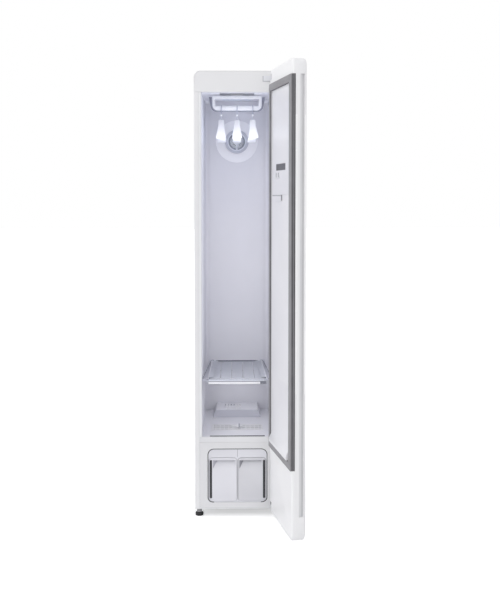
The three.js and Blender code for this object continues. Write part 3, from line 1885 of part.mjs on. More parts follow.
const pressPad = box(
  wellLeft + pressPadMargin,
  wellRight - pressPadMargin,
  wellFloor + fit,
  wellFloor + fit + pressPadThickness,
  wellBottom + pressPadMargin,
  wellTop - pressPadMargin,
);
add(door, 'press_pad', pressPad, feltPad);

// Press cover: a thin panel with pins at its hinge edge and a grip tab at its free edge
const coverPlan = shapeOf([
  point(coverRight, coverBack),
  point(coverRight, coverBack + coverThickness),
  ...arc(pinX, pinY, coverThickness / 2, quarterTurn, halfTurn + quarterTurn),
]);
const tabRight = coverRight - gripTabInset;
const cover = alongZ(coverPlan, coverBottom, coverTop).add(alongY(
  rectangle(
    tabRight - gripTabWidth,
    tabRight,
    coverTop - gripTabHeight,
    coverTop,
    evenly(gripTabRound),
  ),
  coverBack + coverThickness / 2,
  coverBack + coverThickness + gripTabStand,
)).add(rod(
  [pinX, pinY, coverBottom - coverPinLength],
  [pinX, pinY, coverTop + coverPinLength],
  coverPinRadius,
));
add(door, 'press_cover', cover, liningWhite);

// Trouser hooks: one small plate with two upturned hooks
const hookPlateBack = liningFront + fit;
const hookPlateFront = hookPlateBack + trouserHookPlate;
const hookPlateLeft = Math.min(...trouserHookPlaces) - trouserHookMargin;
const hookPlateRight = Math.max(...trouserHookPlaces) + trouserHookMargin;
let trouserHooks = box(
  hookPlateLeft,
  hookPlateRight,
  hookPlateBack,
  hookPlateFront,
  trouserHookBottom,
  trouserHookBottom + trouserHookHeight,
);
for (const x of trouserHookPlaces) {
  const hookLeft = x - trouserHookWidth / 2;
  const hookRight = x + trouserHookWidth / 2;
  const tip = hookPlateFront + trouserHookReach;
  trouserHooks = trouserHooks.add(box(
    hookLeft,
    hookRight,
    hookPlateFront - fit,
    tip,
    trouserHookBottom,
    trouserHookBottom + trouserHookArm,
  )).add(box(
    hookLeft,
    hookRight,
    tip - trouserHookLip,
    tip,
    trouserHookBottom,
    trouserHookBottom + trouserHookHeight / 2,
  ));
}
add(door, 'trouser_hooks', trouserHooks, darkPlastic);

// The frame's zero goes under the middle of the whole outline, at floor level
cabinet.updateMatrixWorld(true);
const whole = new THREE.Box3().setFromObject(cabinet, true);
const middle = whole.getCenter(new THREE.Vector3());
cabinet.position.set(-middle.x, -middle.y, -whole.min.z);
cabinet.updateMatrixWorld(true);

export default cabinet;
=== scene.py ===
import bpy
import bmesh
import math
from mathutils import Matrix, Vector


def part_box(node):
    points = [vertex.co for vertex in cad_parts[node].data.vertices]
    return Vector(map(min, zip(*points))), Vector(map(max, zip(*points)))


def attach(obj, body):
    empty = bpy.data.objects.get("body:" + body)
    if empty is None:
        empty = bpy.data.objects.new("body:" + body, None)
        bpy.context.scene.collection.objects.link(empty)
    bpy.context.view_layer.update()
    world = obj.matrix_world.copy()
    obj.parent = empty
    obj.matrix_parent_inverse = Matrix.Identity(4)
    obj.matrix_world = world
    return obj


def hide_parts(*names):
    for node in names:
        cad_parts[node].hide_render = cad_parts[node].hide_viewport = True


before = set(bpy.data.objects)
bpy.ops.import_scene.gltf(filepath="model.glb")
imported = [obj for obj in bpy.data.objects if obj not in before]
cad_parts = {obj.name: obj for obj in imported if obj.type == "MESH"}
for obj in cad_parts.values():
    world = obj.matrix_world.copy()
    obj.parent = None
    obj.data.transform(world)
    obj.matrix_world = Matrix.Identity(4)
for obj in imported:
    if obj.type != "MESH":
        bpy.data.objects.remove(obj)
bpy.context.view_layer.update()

# Studio: pale floor, white surround and soft lamps, seen by a level-eyed camera in front of the
# cabinet. Places are in millimetres from the cabinet's centre plane, its front face and the floor.
MM = 0.001
body_start, body_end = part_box("left_side_panel")[0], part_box("right_side_panel")[1]
middle = (body_start.x + body_end.x) / 2
front = body_start.y


def at(x, y, z):
    """The point that lies x across, y back and z up on the cabinet, in metres of the frame."""
    return Vector((middle + x * MM, front + y * MM, z * MM))


def tone(red, green, blue):
    """A colour as read off a screen, made linear."""
    def linear(value):
        value /= 255
        return value / 12.92 if value <= 0.04045 else ((value + 0.055) / 1.055) ** 2.4
    return (linear(red), linear(green), linear(blue), 1.0)


def link(piece):
    bpy.context.scene.collection.objects.link(piece)
    return piece


looks_down, looks_right = 2.963, 1.124  # degrees
camera = bpy.data.cameras.new("camera")
camera.lens = 52.63
camera.sensor_width = 36
camera.shift_y = -0.1017
camera.clip_end = 50
camera_stand = link(bpy.data.objects.new("camera", camera))
camera_stand.location = at(-18.69, -3610.1, 1349.5)
camera_stand.rotation_euler = (math.radians(90 - looks_down), 0, math.radians(-looks_right))
bpy.context.scene.camera = camera_stand
bpy.context.scene.view_settings.view_transform = "Standard"

surround = bpy.data.worlds.new("white surround")
surround.use_nodes = True
bpy.context.scene.world = surround
nodes, wire = surround.node_tree.nodes, surround.node_tree.links.new
seen, shining = nodes.new("ShaderNodeBackground"), nodes["Background"]
seen.inputs["Color"].default_value = (1, 1, 1, 1)
seen.inputs["Strength"].default_value = 1.0
shining.inputs["Color"].default_value = tone(250, 250, 253)
shining.inputs["Strength"].default_value = 0.6
ray = nodes.new("ShaderNodeLightPath")
shown, mirrored = nodes.new("ShaderNodeMath"), nodes.new("ShaderNodeMath")
shown.operation = mirrored.operation = "MAXIMUM"
choose = nodes.new("ShaderNodeMixShader")
wire(ray.outputs["Is Camera Ray"], shown.inputs[0])
wire(ray.outputs["Is Glossy Ray"], mirrored.inputs[0])
wire(ray.outputs["Is Transmission Ray"], mirrored.inputs[1])
wire(mirrored.outputs[0], shown.inputs[1])
wire(shown.outputs[0], choose.inputs["Fac"])
wire(shining.outputs[0], choose.inputs[1])
wire(seen.outputs[0], choose.inputs[2])
wire(choose.outputs[0], nodes["World Output"].inputs["Surface"])

reach = 30  # metres of floor each way
floor_mesh = bpy.data.meshes.new("studio_floor")
floor_mesh.from_pydata(
    [(-reach, -reach, 0), (reach, -reach, 0), (reach, reach, 0), (-reach, reach, 0)],
    [], [(0, 1, 2, 3)])
studio_floor = link(bpy.data.objects.new("studio_floor", floor_mesh))
pale_floor = bpy.data.materials.new("pale floor")
pale_floor.use_nodes = True
nodes, wire = pale_floor.node_tree.nodes, pale_floor.node_tree.links.new
matt = nodes["Principled BSDF"]
matt.inputs["Roughness"].default_value = 0.9
matt.inputs["Base Color"].default_value = (0.95, 0.95, 0.95, 1)
glow, ray = nodes.new("ShaderNodeEmission"), nodes.new("ShaderNodeLightPath")
lift, both = nodes.new("ShaderNodeMath"), nodes.new("ShaderNodeAddShader")
lift.operation = "MULTIPLY"
lift.inputs[1].default_value = 0.46
wire(ray.outputs["Is Camera Ray"], lift.inputs[0])
wire(lift.outputs[0], glow.inputs["Strength"])
wire(matt.outputs[0], both.inputs[0])
wire(glow.outputs[0], both.inputs[1])
wire(both.outputs[0], nodes["Material Output"].inputs["Surface"])
floor_mesh.materials.append(pale_floor)

# Each wide sun has its azimuth, 0 from the front and positive from the right, its height in
# degrees, its strength and its spread.
for name, azimuth, height, strength, spread in (
    ("front softbox", -12, 16, 0.42, 60),
    ("left softbox", -68, 30, 0.8, 70),
    ("top softbox", 20, 75, 0.3, 90),
):
    sun = bpy.data.lights.new(name, "SUN")
    sun.energy = strength
    sun.angle = math.radians(spread)
    stand = link(bpy.data.objects.new(name, sun))
    stand.rotation_euler = (math.radians(90 - height), 0, math.radians(azimuth))

# Each soft lamp in the chamber has its place, its size, its tilt down from facing the back, its
# power and its colour.
white_light = (1, 1, 1)
for name, place, size, tilt, power, colour in (
    ("chamber light box", (0, 8, 1160), (270, 1180), 0, 0.655, white_light),
    ("upper light strip", (0, 24, 1690), (240, 90), 2, 0.03, (0.78, 0.87, 1)),
    ("ceiling light", (0, 180, 1560), (150, 300), -90, 0.29, (0.76, 0.83, 1)),
    ("lamp light", (0, 260, 1776), (240, 50), 90, 0.092, (0.76, 0.84, 1)),
    ("lower light strip", (0, 250, 545), (210, 300), 90, 0.135, white_light),
    ("floor light", (0, 75, 500), (230, 100), 90, 0.064, white_light),
    ("step light", (0, 395, 470), (170, 60), 90, 0.014, white_light),
    ("right floor light", (95, 330, 470), (50, 110), 90, 0.01, white_light),
    ("left floor light", (-110, 330, 470), (40, 110), 90, 0.004, white_light),
):
    lamp = bpy.data.lights.new(name, "AREA")
    lamp.color = colour
    lamp.shape = "RECTANGLE"
    lamp.size, lamp.size_y = size[0] * MM, size[1] * MM
    lamp.energy = power
    stand = link(bpy.data.objects.new(name, lamp))
    stand.location = at(*place)
    stand.rotation_euler = (math.radians(90 - tilt), 0, 0)
    stand.visible_camera = False
    stand.visible_glossy = False

# Painted sheet steel: the two folded side panels, the lower front, the header above the chamber and
# the back, all sprayed warm white with a fine orange peel. The lower front's white is a little
# darker, as painted shade. Their cut edges are slightly softened.
crease = 38  # edges that turn by more degrees stay sharp, or are softened


def grained(material, scale, detail, low, high):
    """Noise in the piece's own place, spread between low and high."""
    nodes, wire = material.node_tree.nodes, material.node_tree.links.new
    place = nodes.get("place") or nodes.new("ShaderNodeTexCoord")
    place.name = "place"
    noise = nodes.new("ShaderNodeTexNoise")
    noise.inputs["Scale"].default_value = scale
    noise.inputs["Detail"].default_value = detail
    span = nodes.new("ShaderNodeMapRange")
    for socket, value in (
        ("From Min", 0.3), ("From Max", 0.7), ("To Min", low), ("To Max", high),
    ):
        span.inputs[socket].default_value = value
    wire(place.outputs["Object"], noise.inputs["Vector"])
    wire(noise.outputs["Fac"], span.inputs["Value"])
    return span.outputs["Result"]


def surface(name, colour, second, roughness, blotch=4.0, grain=(900, 0.15, 0.00004), **sockets):
    """A finish that drifts from one screen colour to a second, with its own grain and gloss."""
    material = bpy.data.materials.new(name)
    material.use_nodes = True
    nodes, wire = material.node_tree.nodes, material.node_tree.links.new
    shader = nodes["Principled BSDF"]
    blend = nodes.new("ShaderNodeMix")
    blend.data_type = "RGBA"
    blend.inputs["A"].default_value = tone(*colour)
    blend.inputs["B"].default_value = tone(*second)
    wire(grained(material, blotch, 3, 0, 1), blend.inputs["Factor"])
    wire(blend.outputs["Result"], shader.inputs["Base Color"])
    wire(grained(material, blotch * 5, 4, *roughness), shader.inputs["Roughness"])
    bump = nodes.new("ShaderNodeBump")
    fineness, strength, depth = grain
    bump.inputs["Strength"].default_value = strength
    bump.inputs["Distance"].default_value = depth
    wire(grained(material, fineness, 2, 0, 1), bump.inputs["Height"])
    wire(bump.outputs["Normal"], shader.inputs["Normal"])
    for socket, value in sockets.items():
        shader.inputs[socket.replace("_", " ")].default_value = value
    return material


def softened(piece, edge):
    """Rounds the piece's sharp edges by so many millimetres."""
    soften = piece.modifiers.new("softened edges", "BEVEL")
    soften.width = edge * MM
    soften.segments = 2
    soften.limit_method = "ANGLE"
    soften.angle_limit = math.radians(crease)
    soften.harden_normals = True
    return piece


def dressed(mesh, finish, smooth=crease):
    """The mesh as a piece in one finish, shaded smooth between its sharp edges."""
    mesh.materials.clear()
    mesh.materials.append(finish)
    mesh.polygons.foreach_set("use_smooth", [True] * len(mesh.polygons))
    mesh.polygons.foreach_set("material_index", [0] * len(mesh.polygons))
    mesh.set_sharp_from_angle(angle=math.radians(smooth))
    return link(bpy.data.objects.new(mesh.name, mesh))


def as_drawn(node, finish, edge=0.5):
    """The CAD node's shape as a closed piece of its own, with softened edges and its finish."""
    shape = bmesh.new()
    shape.from_mesh(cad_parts[node].data)
    bmesh.ops.remove_doubles(shape, verts=shape.verts, dist=0.00001)
    flat = math.radians(0.4)
    bmesh.ops.dissolve_limit(shape, angle_limit=flat, verts=shape.verts, edges=shape.edges)
    mesh = bpy.data.meshes.new(node + "_piece")
    shape.to_mesh(mesh)
    shape.free()
    piece = softened(dressed(mesh, finish), edge)
    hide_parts(node)
    return piece


sprayed = {"grain": (1400, 0.12, 0.00003), "Coat_Weight": 0.15, "Coat_Roughness": 0.2}
enamel = surface("warm white enamel", (237, 237, 238), (235, 235, 236), (0.33, 0.38), **sprayed)
# A darker copy of the warm white, painted shade on the lower front and the bay's mouth corners.
lower_enamel_painted_shade = surface("lower enamel painted shade", (229, 229, 231), (227, 227, 229), (0.33, 0.38), **sprayed)
for node, finish in (
    ("left_side_panel", enamel), ("right_side_panel", enamel), ("back_panel", enamel),
    ("front_header", enamel), ("lower_front_panel", lower_enamel_painted_shade),
):
    panel = as_drawn(node, finish)
    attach(panel, "cabinet")

# Top cap: one steel sheet bent over both upper corners, its skirts meeting the side panels at a
# seam. It is sprayed like the sides.
half_width, cabinet_depth, cabinet_top = 177.5, 515, 1850
cap_foot, cap_bend, cap_sheet = 1809, 29, 1.2


def rounded(corners, radii, steps):
    """The outline through the corners, each one rounded by its radius in so many steps."""
    result = []
    count = len(corners)
    for i, (corner, radius) in enumerate(zip(corners, radii)):
        here = Vector(corner)
        if not radius:
            result.append(here)
            continue
        back = (Vector(corners[i - 1]) - here).normalized()
        ahead = (Vector(corners[(i + 1) % count]) - here).normalized()
        half = back.angle(ahead) / 2
        centre = here + (back + ahead).normalized() * radius / math.sin(half)
        start = here + back * radius / math.tan(half) - centre
        turn = start.angle_signed(here + ahead * radius / math.tan(half) - centre)
        for step in range(steps + 1):
            spin = Matrix.Rotation(-turn * step / steps, 2)
            result.append(centre + spin @ start)
    return result


def shaped(name, points, faces):
    """A mesh from its points and faces, facing outwards."""
    mesh = bpy.data.meshes.new(name)
    mesh.from_pydata([tuple(point) for point in points], [], faces)
    shape = bmesh.new()
    shape.from_mesh(mesh)
    bmesh.ops.remove_doubles(shape, verts=shape.verts, dist=0.000001)
    bmesh.ops.recalc_face_normals(shape, faces=shape.faces)
    shape.to_mesh(mesh)
    shape.free()
    return mesh


def skin(rings, closed=False):
    """Points and faces of a skin over rings, closed on itself or capped at both ends."""
    size = len(rings[0])
    points = [point for ring in rings for point in ring]
    faces = []
    for i in range(len(rings) if closed else len(rings) - 1):
        this, following = i * size, (i + 1) % len(rings) * size
        for j in range(size):
            k = (j + 1) % size
            faces.append((this + j, this + k, following + k, following + j))
    if not closed:
        faces.append(tuple(range(size)))
        faces.append(tuple(range(len(points) - size, len(points))))
    return points, faces


def lofted(name, rings, finish, closed=False, smooth=crease):
    """A piece whose skin runs over rings of points."""
    return dressed(shaped(name, *skin(rings, closed)), finish, smooth)


cap_outlines = []
for inset in (0, cap_sheet):
    half, top, bend = half_width - inset, cabinet_top - inset, cap_bend - inset
    cap_outlines.append(rounded(
        [(-half, cap_foot), (-half, top), (half, top), (half, cap_foot)], [0, bend, bend, 0], 16))
top_cap = softened(lofted("top_cap_sheet", [
    [at(p.x, 0, p.y), at(q.x, 0, q.y), at(q.x, cabinet_depth, q.y), at(p.x, cabinet_depth, p.y)]
    for p, q in zip(*cap_outlines)], enamel), 0.4)
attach(top_cap, "cabinet")
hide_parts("top_cap")

# Sill strip under the chamber: a narrow folded steel strip, sprayed a little greyer than the
# panels. It is hooked over the lower front and carries the front edge of the chamber floor.
sill_enamel = surface(
    "sill enamel", (232, 232, 234), (226, 226, 229), (0.32, 0.42),
    grain=(1400, 0.12, 0.00003), Coat_Weight=0.1, Coat_Roughness=0.25)
sill = as_drawn("sill_strip", sill_enamel)
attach(sill, "cabinet")

# Base pan: the zinc-plated tray that carries the machine parts and takes the feet's stems. It is
# pressed from one sheet and lies between the side panels.
zinc = surface(
    "zinc plate", (182, 185, 190), (160, 165, 172), (0.32, 0.5), blotch=40,
    grain=(300, 0.2, 0.0001), Metallic=0.85)
base_pan = as_drawn("base_pan", zinc)
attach(base_pan, "cabinet")

# Chamber lining: vacuum-formed walls with rounded corners, the back wall with its dish, the ceiling
# tray, the floor and the nozzle step, in pale lavender plastic with a fine texture. The walls turn
# into white lips at the mouth, and the shelf's ledges are screwed to them. The ceiling and the dish
# are lighter copies of the lavender as painted light, and the ledges and the step's front faces are
# darker copies as painted shade.
lip_depth, dish_front, dish_floor, dish_radius, outlet_height = 3.2, 469, 485, 98, 1590


def placed(point):
    """A point of the frame as its x, y and z on the cabinet, in millimetres."""
    return Vector(((point.x - middle) / MM, (point.y - front) / MM, point.z / MM))


def recoloured(piece, finish, takes, place=placed):
    """Gives another finish to each face that the test takes, by its corners and its normal."""
    piece.data.materials.append(finish)
    corners = piece.data.vertices
    for face in piece.data.polygons:
        if takes([place(corners[i].co) for i in face.vertices], face.normal):
            face.material_index = len(piece.data.materials) - 1


lavender = surface(
    "lavender plastic", (231, 231, 237), (225, 225, 232), (0.38, 0.5),
    blotch=2.5, grain=(1100, 0.25, 0.00006), Coat_Weight=0.12, Coat_Roughness=0.3)
lip_white = surface(
    "lip white", (242, 243, 244), (238, 239, 241), (0.34, 0.44), grain=(1100, 0.15, 0.00004))
# A lighter copy of the lavender, painted light on the ceiling.
ceiling_painted_light = surface(
    "ceiling painted light", (244, 244, 249), (240, 240, 246), (0.4, 0.5), grain=(1100, 0.25, 0.00006))
# Painted shade on the ledges, painted light on the dish and painted shade on the step's front.
ledge_painted_shade = surface("ledge painted shade", (214, 215, 224), (207, 208, 218), (0.4, 0.5))
dish_painted_light = surface("dish painted light", (250, 250, 254), (246, 246, 252), (0.38, 0.5))
step_painted_shade = surface("step face painted shade", (210, 211, 220), (204, 205, 215), (0.38, 0.5))
for node, finish in (
    ("left_inner_wall", lavender), ("right_inner_wall", lavender), ("rear_inner_wall", lavender),
    ("chamber_ceiling", ceiling_painted_light), ("chamber_floor", lavender),
    ("steam_nozzle_step", lavender), ("left_shelf_ledge", ledge_painted_shade),
    ("right_shelf_ledge", ledge_painted_shade),
):
    lining_part = as_drawn(node, finish, 0.6)
    if node in ("left_inner_wall", "right_inner_wall"):
        recoloured(lining_part, lip_white, lambda spots, normal: all(
            p.y < lip_depth for p in spots))
    if node == "rear_inner_wall":
        recoloured(lining_part, dish_painted_light, lambda spots, normal: abs(normal.y) < 0.98 and all(
            dish_front < p.y < dish_floor and math.hypot(p.x, p.z - outlet_height) < dish_radius
            for p in spots))
    if node == "steam_nozzle_step":
        recoloured(lining_part, step_painted_shade, lambda spots, normal: normal.y < -0.6)
    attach(lining_part, "cabinet")

# Floor gap: a thin strip in the groove between the chamber floor and the sill, dark as painted
# shadow in the gap.
box_faces = [(0, 1, 3, 2), (4, 6, 7, 5), (0, 4, 5, 1), (2, 3, 7, 6), (0, 2, 6, 4), (1, 5, 7, 3)]


def block(name, low, high, finish, edge=0, place=at):
    """A box between two corners in millimetres, with softened edges if it is given an edge."""
    points = [place(x, y, z) for x in (low[0], high[0]) for y in (low[1], high[1])
              for z in (low[2], high[2])]
    piece = dressed(shaped(name, points, box_faces), finish)
    return softened(piece, edge) if edge else piece


gap_dark = surface("shadow gap black", (62, 62, 66), (52, 52, 56), (0.6, 0.75), blotch=20)
# The strip is painted shadow of the gap under the chamber's mouth.
floor_gap_shadow = block("floor_gap_shadow", (-114.6, 10.1, 333), (114.6, 11.9, 339), gap_dark, 0.3)
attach(floor_gap_shadow, "cabinet")

# Lamp cover: a frosted strip lens over the chamber's lamp. It is moulded and snaps into the ceiling
# behind the rail.
frosted = surface(
    "frosted plastic", (238, 239, 246), (230, 232, 242), (0.45, 0.6),
    blotch=10, grain=(1600, 0.3, 0.00005), Subsurface_Weight=0.1)
lamp_cover = as_drawn("lamp_cover", frosted, 0.6)
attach(lamp_cover, "cabinet")

# Air outlet in the back wall: a bezel with rings, a hub and swirled vanes, moulded in one piece,
# with a darker throat ring behind the vanes as painted shade. Behind it turns the fan, on a motor
# fixed to the back panel.
outlet_front, fan_front, vane_count, blade_count, blade_sheet = 478.7, 484.6, 13, 11, 1.4


def turns(count):
    """The angles of so many even steps round a full turn."""
    return [2 * math.pi * k / count for k in range(count)]


def turned_y(name, start, profile, finish):
    """A round piece about the outlet's axis, from its (radius, depth) profile behind a start."""
    return lofted(name, [
        [at(r * math.sin(a), start + y, outlet_height + r * math.cos(a)) for r, y in profile]
        for a in turns(64)], finish, True)


def repeated(name, seed_mesh, count, start, finish, step=(0.0, 0.0, 0.0), turn=0.0):
    """Copies of a mesh, each a step and a turn about y from the last, as one plain mesh."""
    tree = bpy.data.node_groups.new(name, "GeometryNodeTree")
    for way in ("INPUT", "OUTPUT"):
        tree.interface.new_socket("Geometry", in_out=way, socket_type="NodeSocketGeometry")
    holder = link(bpy.data.objects.new(name + "_seed", seed_mesh))
    pattern = holder.modifiers.new(name, "NODES")
    settings = {}
    for label, kind, value in (
        ("Number", "Int", count), ("Start", "Vector", start),
        ("Step", "Vector", step), ("Turn", "Float", turn),
    ):
        socket = tree.interface.new_socket(label, in_out="INPUT", socket_type="NodeSocket" + kind)
        settings[socket.identifier] = value
    add, wire = tree.nodes.new, tree.links.new
    given, ends = add("NodeGroupInput"), add("NodeGroupOutput")
    points, copies = add("GeometryNodeMeshLine"), add("GeometryNodeInstanceOnPoints")
    index, angle = add("GeometryNodeInputIndex"), add("ShaderNodeMath")
    lean = add("ShaderNodeCombineXYZ")
    real, coat = add("GeometryNodeRealizeInstances"), add("GeometryNodeSetMaterial")
    angle.operation = "MULTIPLY"
    coat.inputs["Material"].default_value = finish
    wire(given.outputs["Number"], points.inputs["Count"])
    wire(given.outputs["Start"], points.inputs["Start Location"])
    wire(given.outputs["Step"], points.inputs["Offset"])
    wire(points.outputs["Mesh"], copies.inputs["Points"])
    wire(given.outputs["Geometry"], copies.inputs["Instance"])
    wire(index.outputs[0], angle.inputs[0])
    wire(given.outputs["Turn"], angle.inputs[1])
    wire(angle.outputs[0], lean.inputs["Y"])
    wire(lean.outputs[0], copies.inputs["Rotation"])
    wire(copies.outputs["Instances"], real.inputs["Geometry"])
    wire(real.outputs["Geometry"], coat.inputs["Geometry"])
    wire(coat.outputs["Geometry"], ends.inputs["Geometry"])
    pattern.node_group = tree
    for identifier, value in settings.items():
        pattern[identifier] = value
    mesh = bpy.data.meshes.new_from_object(
        holder.evaluated_get(bpy.context.evaluated_depsgraph_get()))
    bpy.data.objects.remove(holder)
    mesh.name = name
    mesh.materials.clear()
    mesh.materials.append(finish)
    return link(bpy.data.objects.new(name, mesh))


def swept_vane(name, inner, outer, depth, widths, sweep):
    """One curved vane round the origin, from an inner to an outer radius, of two widths."""
    steps = 10
    rings = []
    for i in range(steps + 1):
        share = i / steps
        angle = sweep * share
        wide = widths[0] + (widths[1] - widths[0]) * share
        across = Vector((math.cos(angle), 0, -math.sin(angle))) * wide / 2
        centre = Vector((math.sin(angle), 0, math.cos(angle))) * (inner + (outer - inner) * share)
        back = Vector((0, depth, 0))
        rings.append([spot * MM for spot in (
            centre - across, centre - across + back, centre + across + back, centre + across)])
    return shaped(name, *skin(rings))


ring_grey = surface("outlet grey", (206, 208, 219), (198, 200, 212), (0.35, 0.5), blotch=12)
# Painted shade on the throat ring round the vanes.
throat_painted_shade = surface(
    "outlet throat painted shade", (160, 163, 175), (148, 151, 164), (0.45, 0.6), blotch=20)
for piece in (
    turned_y("outlet_ring", outlet_front, [
        (43.5, 4.5), (43.5, 0.8), (44.4, 0), (54.1, 0), (54.9, 0.8), (54.9, 4.5)], ring_grey),
    turned_y("outlet_inner_ring", outlet_front, [
        (38.2, 4.5), (38.2, 0.9), (39, 0), (42.6, 0), (43.5, 0.9), (43.5, 4.5)], frosted),
    turned_y("outlet_hub", outlet_front, [
        (0, 0), (10, 0.2), (13, 0.9), (14, 2.2), (14, 4.8), (0, 4.8)], frosted),
    repeated("outlet_vanes", swept_vane("vane", 12, 31.5, 3, (4, 9), 0.9), vane_count,
             at(0, outlet_front + 0.8, outlet_height), frosted, turn=2 * math.pi / vane_count),
    turned_y("outlet_throat", outlet_front, [
        (30.5, 4.8), (30.5, 4), (38.2, 2.2), (38.2, 4.8)], throat_painted_shade),
    block("outlet_strut", (-4.5, outlet_front - 0.1, outlet_height - 40),
          (4.5, outlet_front + 3, outlet_height - 8), frosted, 0.8),
):
    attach(piece, "cabinet")
    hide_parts("outlet_bezel")

charcoal = surface("charcoal plastic", (66, 67, 72), (58, 59, 64), (0.42, 0.55), blotch=20)
fan_grey = surface("fan grey", (168, 171, 182), (156, 159, 171), (0.42, 0.55), blotch=20)
for piece in (
    turned_y("fan_hub", fan_front, [(0, 0), (9, 0), (12, 1.8), (12, 10.4), (0, 10.4)], fan_grey),
    repeated("fan_blades", swept_vane("blade", 11, 34.6, 7.5, (blade_sheet, blade_sheet), -0.75),
             blade_count, at(0, fan_front + 1.4, outlet_height), fan_grey,
             turn=2 * math.pi / blade_count),
):
    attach(piece, "circulation_fan")
    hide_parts("circulation_fan")
fan_motor = as_drawn("circulation_fan_motor", charcoal, 0.8)
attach(fan_motor, "cabinet")

# Back panel fixings: zinc-plated screws down both edges of the panel, a pressed joint above the
# machine compartment and a bare plate of glued film.
screw_count, screw_spacing, screw_column, screw_seat = 9, 213, 166, 513.6


def seed_box(name, size):
    """A box of so many millimetres round the origin, as a mesh to repeat."""
    points = [Vector((x * size[0], y * size[1], z * size[2])) * MM / 2
              for x in (-1, 1) for y in (-1, 1) for z in (-1, 1)]
    return shaped(name, points, box_faces)


screw_head = shaped("screw_head", *skin([
    [Vector((r * math.cos(a), y, r * math.sin(a))) * MM for a in turns(16)]
    for r, y in ((4, -0.2), (4, 0.6), (3.2, 1.1), (1.6, 1.3))]))
for hand, x in (("left", -screw_column), ("right", screw_column)):
    screws = repeated(f"back_screws_{hand}", screw_head, screw_count, at(x, screw_seat, 70),
                      zinc, step=(0, 0, screw_spacing * MM))
    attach(screws, "cabinet")
joint_shade = surface("joint shade", (150, 150, 152), (140, 140, 143), (0.5, 0.6))
plate_film = surface("plate film", (214, 215, 218), (206, 207, 211), (0.4, 0.5), blotch=40)
for piece in (
    block("back_panel_joint", (-173, 513.3, 344), (173, 513.75, 345.4), joint_shade),
    block("bare_back_plate", (-56, 513.4, 1440), (56, 513.9, 1500), plate_film, 0.2),
):
    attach(piece, "cabinet")

# Nozzle ribs: two groups of bright ribs on the step in front of the steam outlet. They are moulded
# as one grating that snaps into the step.
rib_size, rib_spacing = (4, 56, 7), 6.4
# The ribs' own white, also used as a painted highlight on the shelf's side rods and front bar.
rib_white_and_highlight = surface(
    "rib white and painted highlight", (252, 252, 255), (246, 246, 252), (0.25, 0.35), blotch=20, Coat_Weight=0.4)
for name, count, x in (("left", 3, -49.2), ("right", 4, -3)):
    nozzle_ribs = repeated(f"nozzle_ribs_{name}", seed_box("rib", rib_size), count,
                           at(x, 382, 372.3), rib_white_and_highlight, step=(rib_spacing * MM, 0, 0))
    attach(nozzle_ribs, "cabinet")

# Hanger rail: a closed white frame with a round-topped bar, moulded in one piece. It hangs from the
# carriage above the ceiling, which a crank on the drive motor shakes along the guide rod. A grey
# strip along the frame's outer and lower edge is painted shade, the carriage is painted light, and
# a grey sheet over the ceiling's slot is painted shade.
rail_place = 215
gloss = surface(
    "gloss white plastic", (236, 237, 241), (232, 233, 238), (0.26, 0.34),
    blotch=8, grain=(1200, 0.06, 0.00002), Coat_Weight=0.2, Coat_Roughness=0.15)
# Painted shade along the rail's outer and lower edge.
painted_underside_shade = surface(
    "rail underside painted shade", (140, 142, 156), (132, 134, 149), (0.35, 0.45), blotch=12)
# A mid grey for painted shade, on the sheet over the slot and the pad by the upper hinge bracket.
painted_shade_grey = surface(
    "carriage grey", (198, 198, 202), (190, 190, 195), (0.4, 0.5), blotch=20)
# A light grey on the carriage, painted light.
carriage_painted_light = surface(
    "carriage painted light", (232, 232, 235), (224, 224, 228), (0.4, 0.5), blotch=20)


def squared(value, power):
    """A sine or cosine bent so that a section comes between a round and a box."""
    return math.copysign(abs(value) ** power, value)


rail_outside = rounded(
    [(-106.5, 1707.8), (106.5, 1707.8), (108.5, 1774), (-108.5, 1774)], [24, 24, 6, 6], 10)
rail_inside = rounded(
    [(-94, 1728.5), (94, 1728.5), (94, 1757.5), (-94, 1757.5)], [5, 5, 3, 3], 10)
rail_rings = []
for outer, inner in zip(rail_outside, rail_inside):
    ring = []
    for a in turns(20):
        spot = (outer + inner) / 2 + (outer - inner) / 2 * squared(math.cos(a), 0.55)
        ring.append(at(spot.x, rail_place + 7 * squared(math.sin(a), 0.7), spot.y))
    rail_rings.append(ring)
under_outside = rounded(
    [(-122, 1766), (-110, 1704.2), (110, 1704.2), (122, 1766)], [0, 26, 26, 0], 10)
under_inside = rounded(
    [(-104, 1766), (-101, 1712), (101, 1712), (104, 1766)], [0, 18, 18, 0], 10)
under_near, under_far = rail_place - 3, rail_place + 3
for piece in (
    lofted("hanger_rail_frame", rail_rings, gloss, True, 60),
    softened(lofted("hanger_rail_painted_shade", [
        [at(p.x, under_near, p.y), at(p.x, under_far, p.y),
         at(q.x, under_far, q.y), at(q.x, under_near, q.y)]
        for p, q in zip(under_outside, under_inside)], painted_underside_shade), 0.6),
):
    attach(piece, "hanger_rail")
    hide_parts("hanger_rail")
for piece in (
    as_drawn("rail_carriage", carriage_painted_light),
    block("slot_painted_shade_sheet", (-88, 122, 1780.8), (88, 258, 1781.6), painted_shade_grey),
):
    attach(piece, "hanger_rail")
for node, body, finish, slot in (
    ("guide_rod", "cabinet", zinc, "zinc_steel"),
    ("drive_crank", "drive_crank", zinc, "zinc_steel"),
    ("rail_drive_motor", "cabinet", charcoal, "dark_plastic"),
):
    drive_part = as_drawn(node, finish)
    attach(drive_part, body)

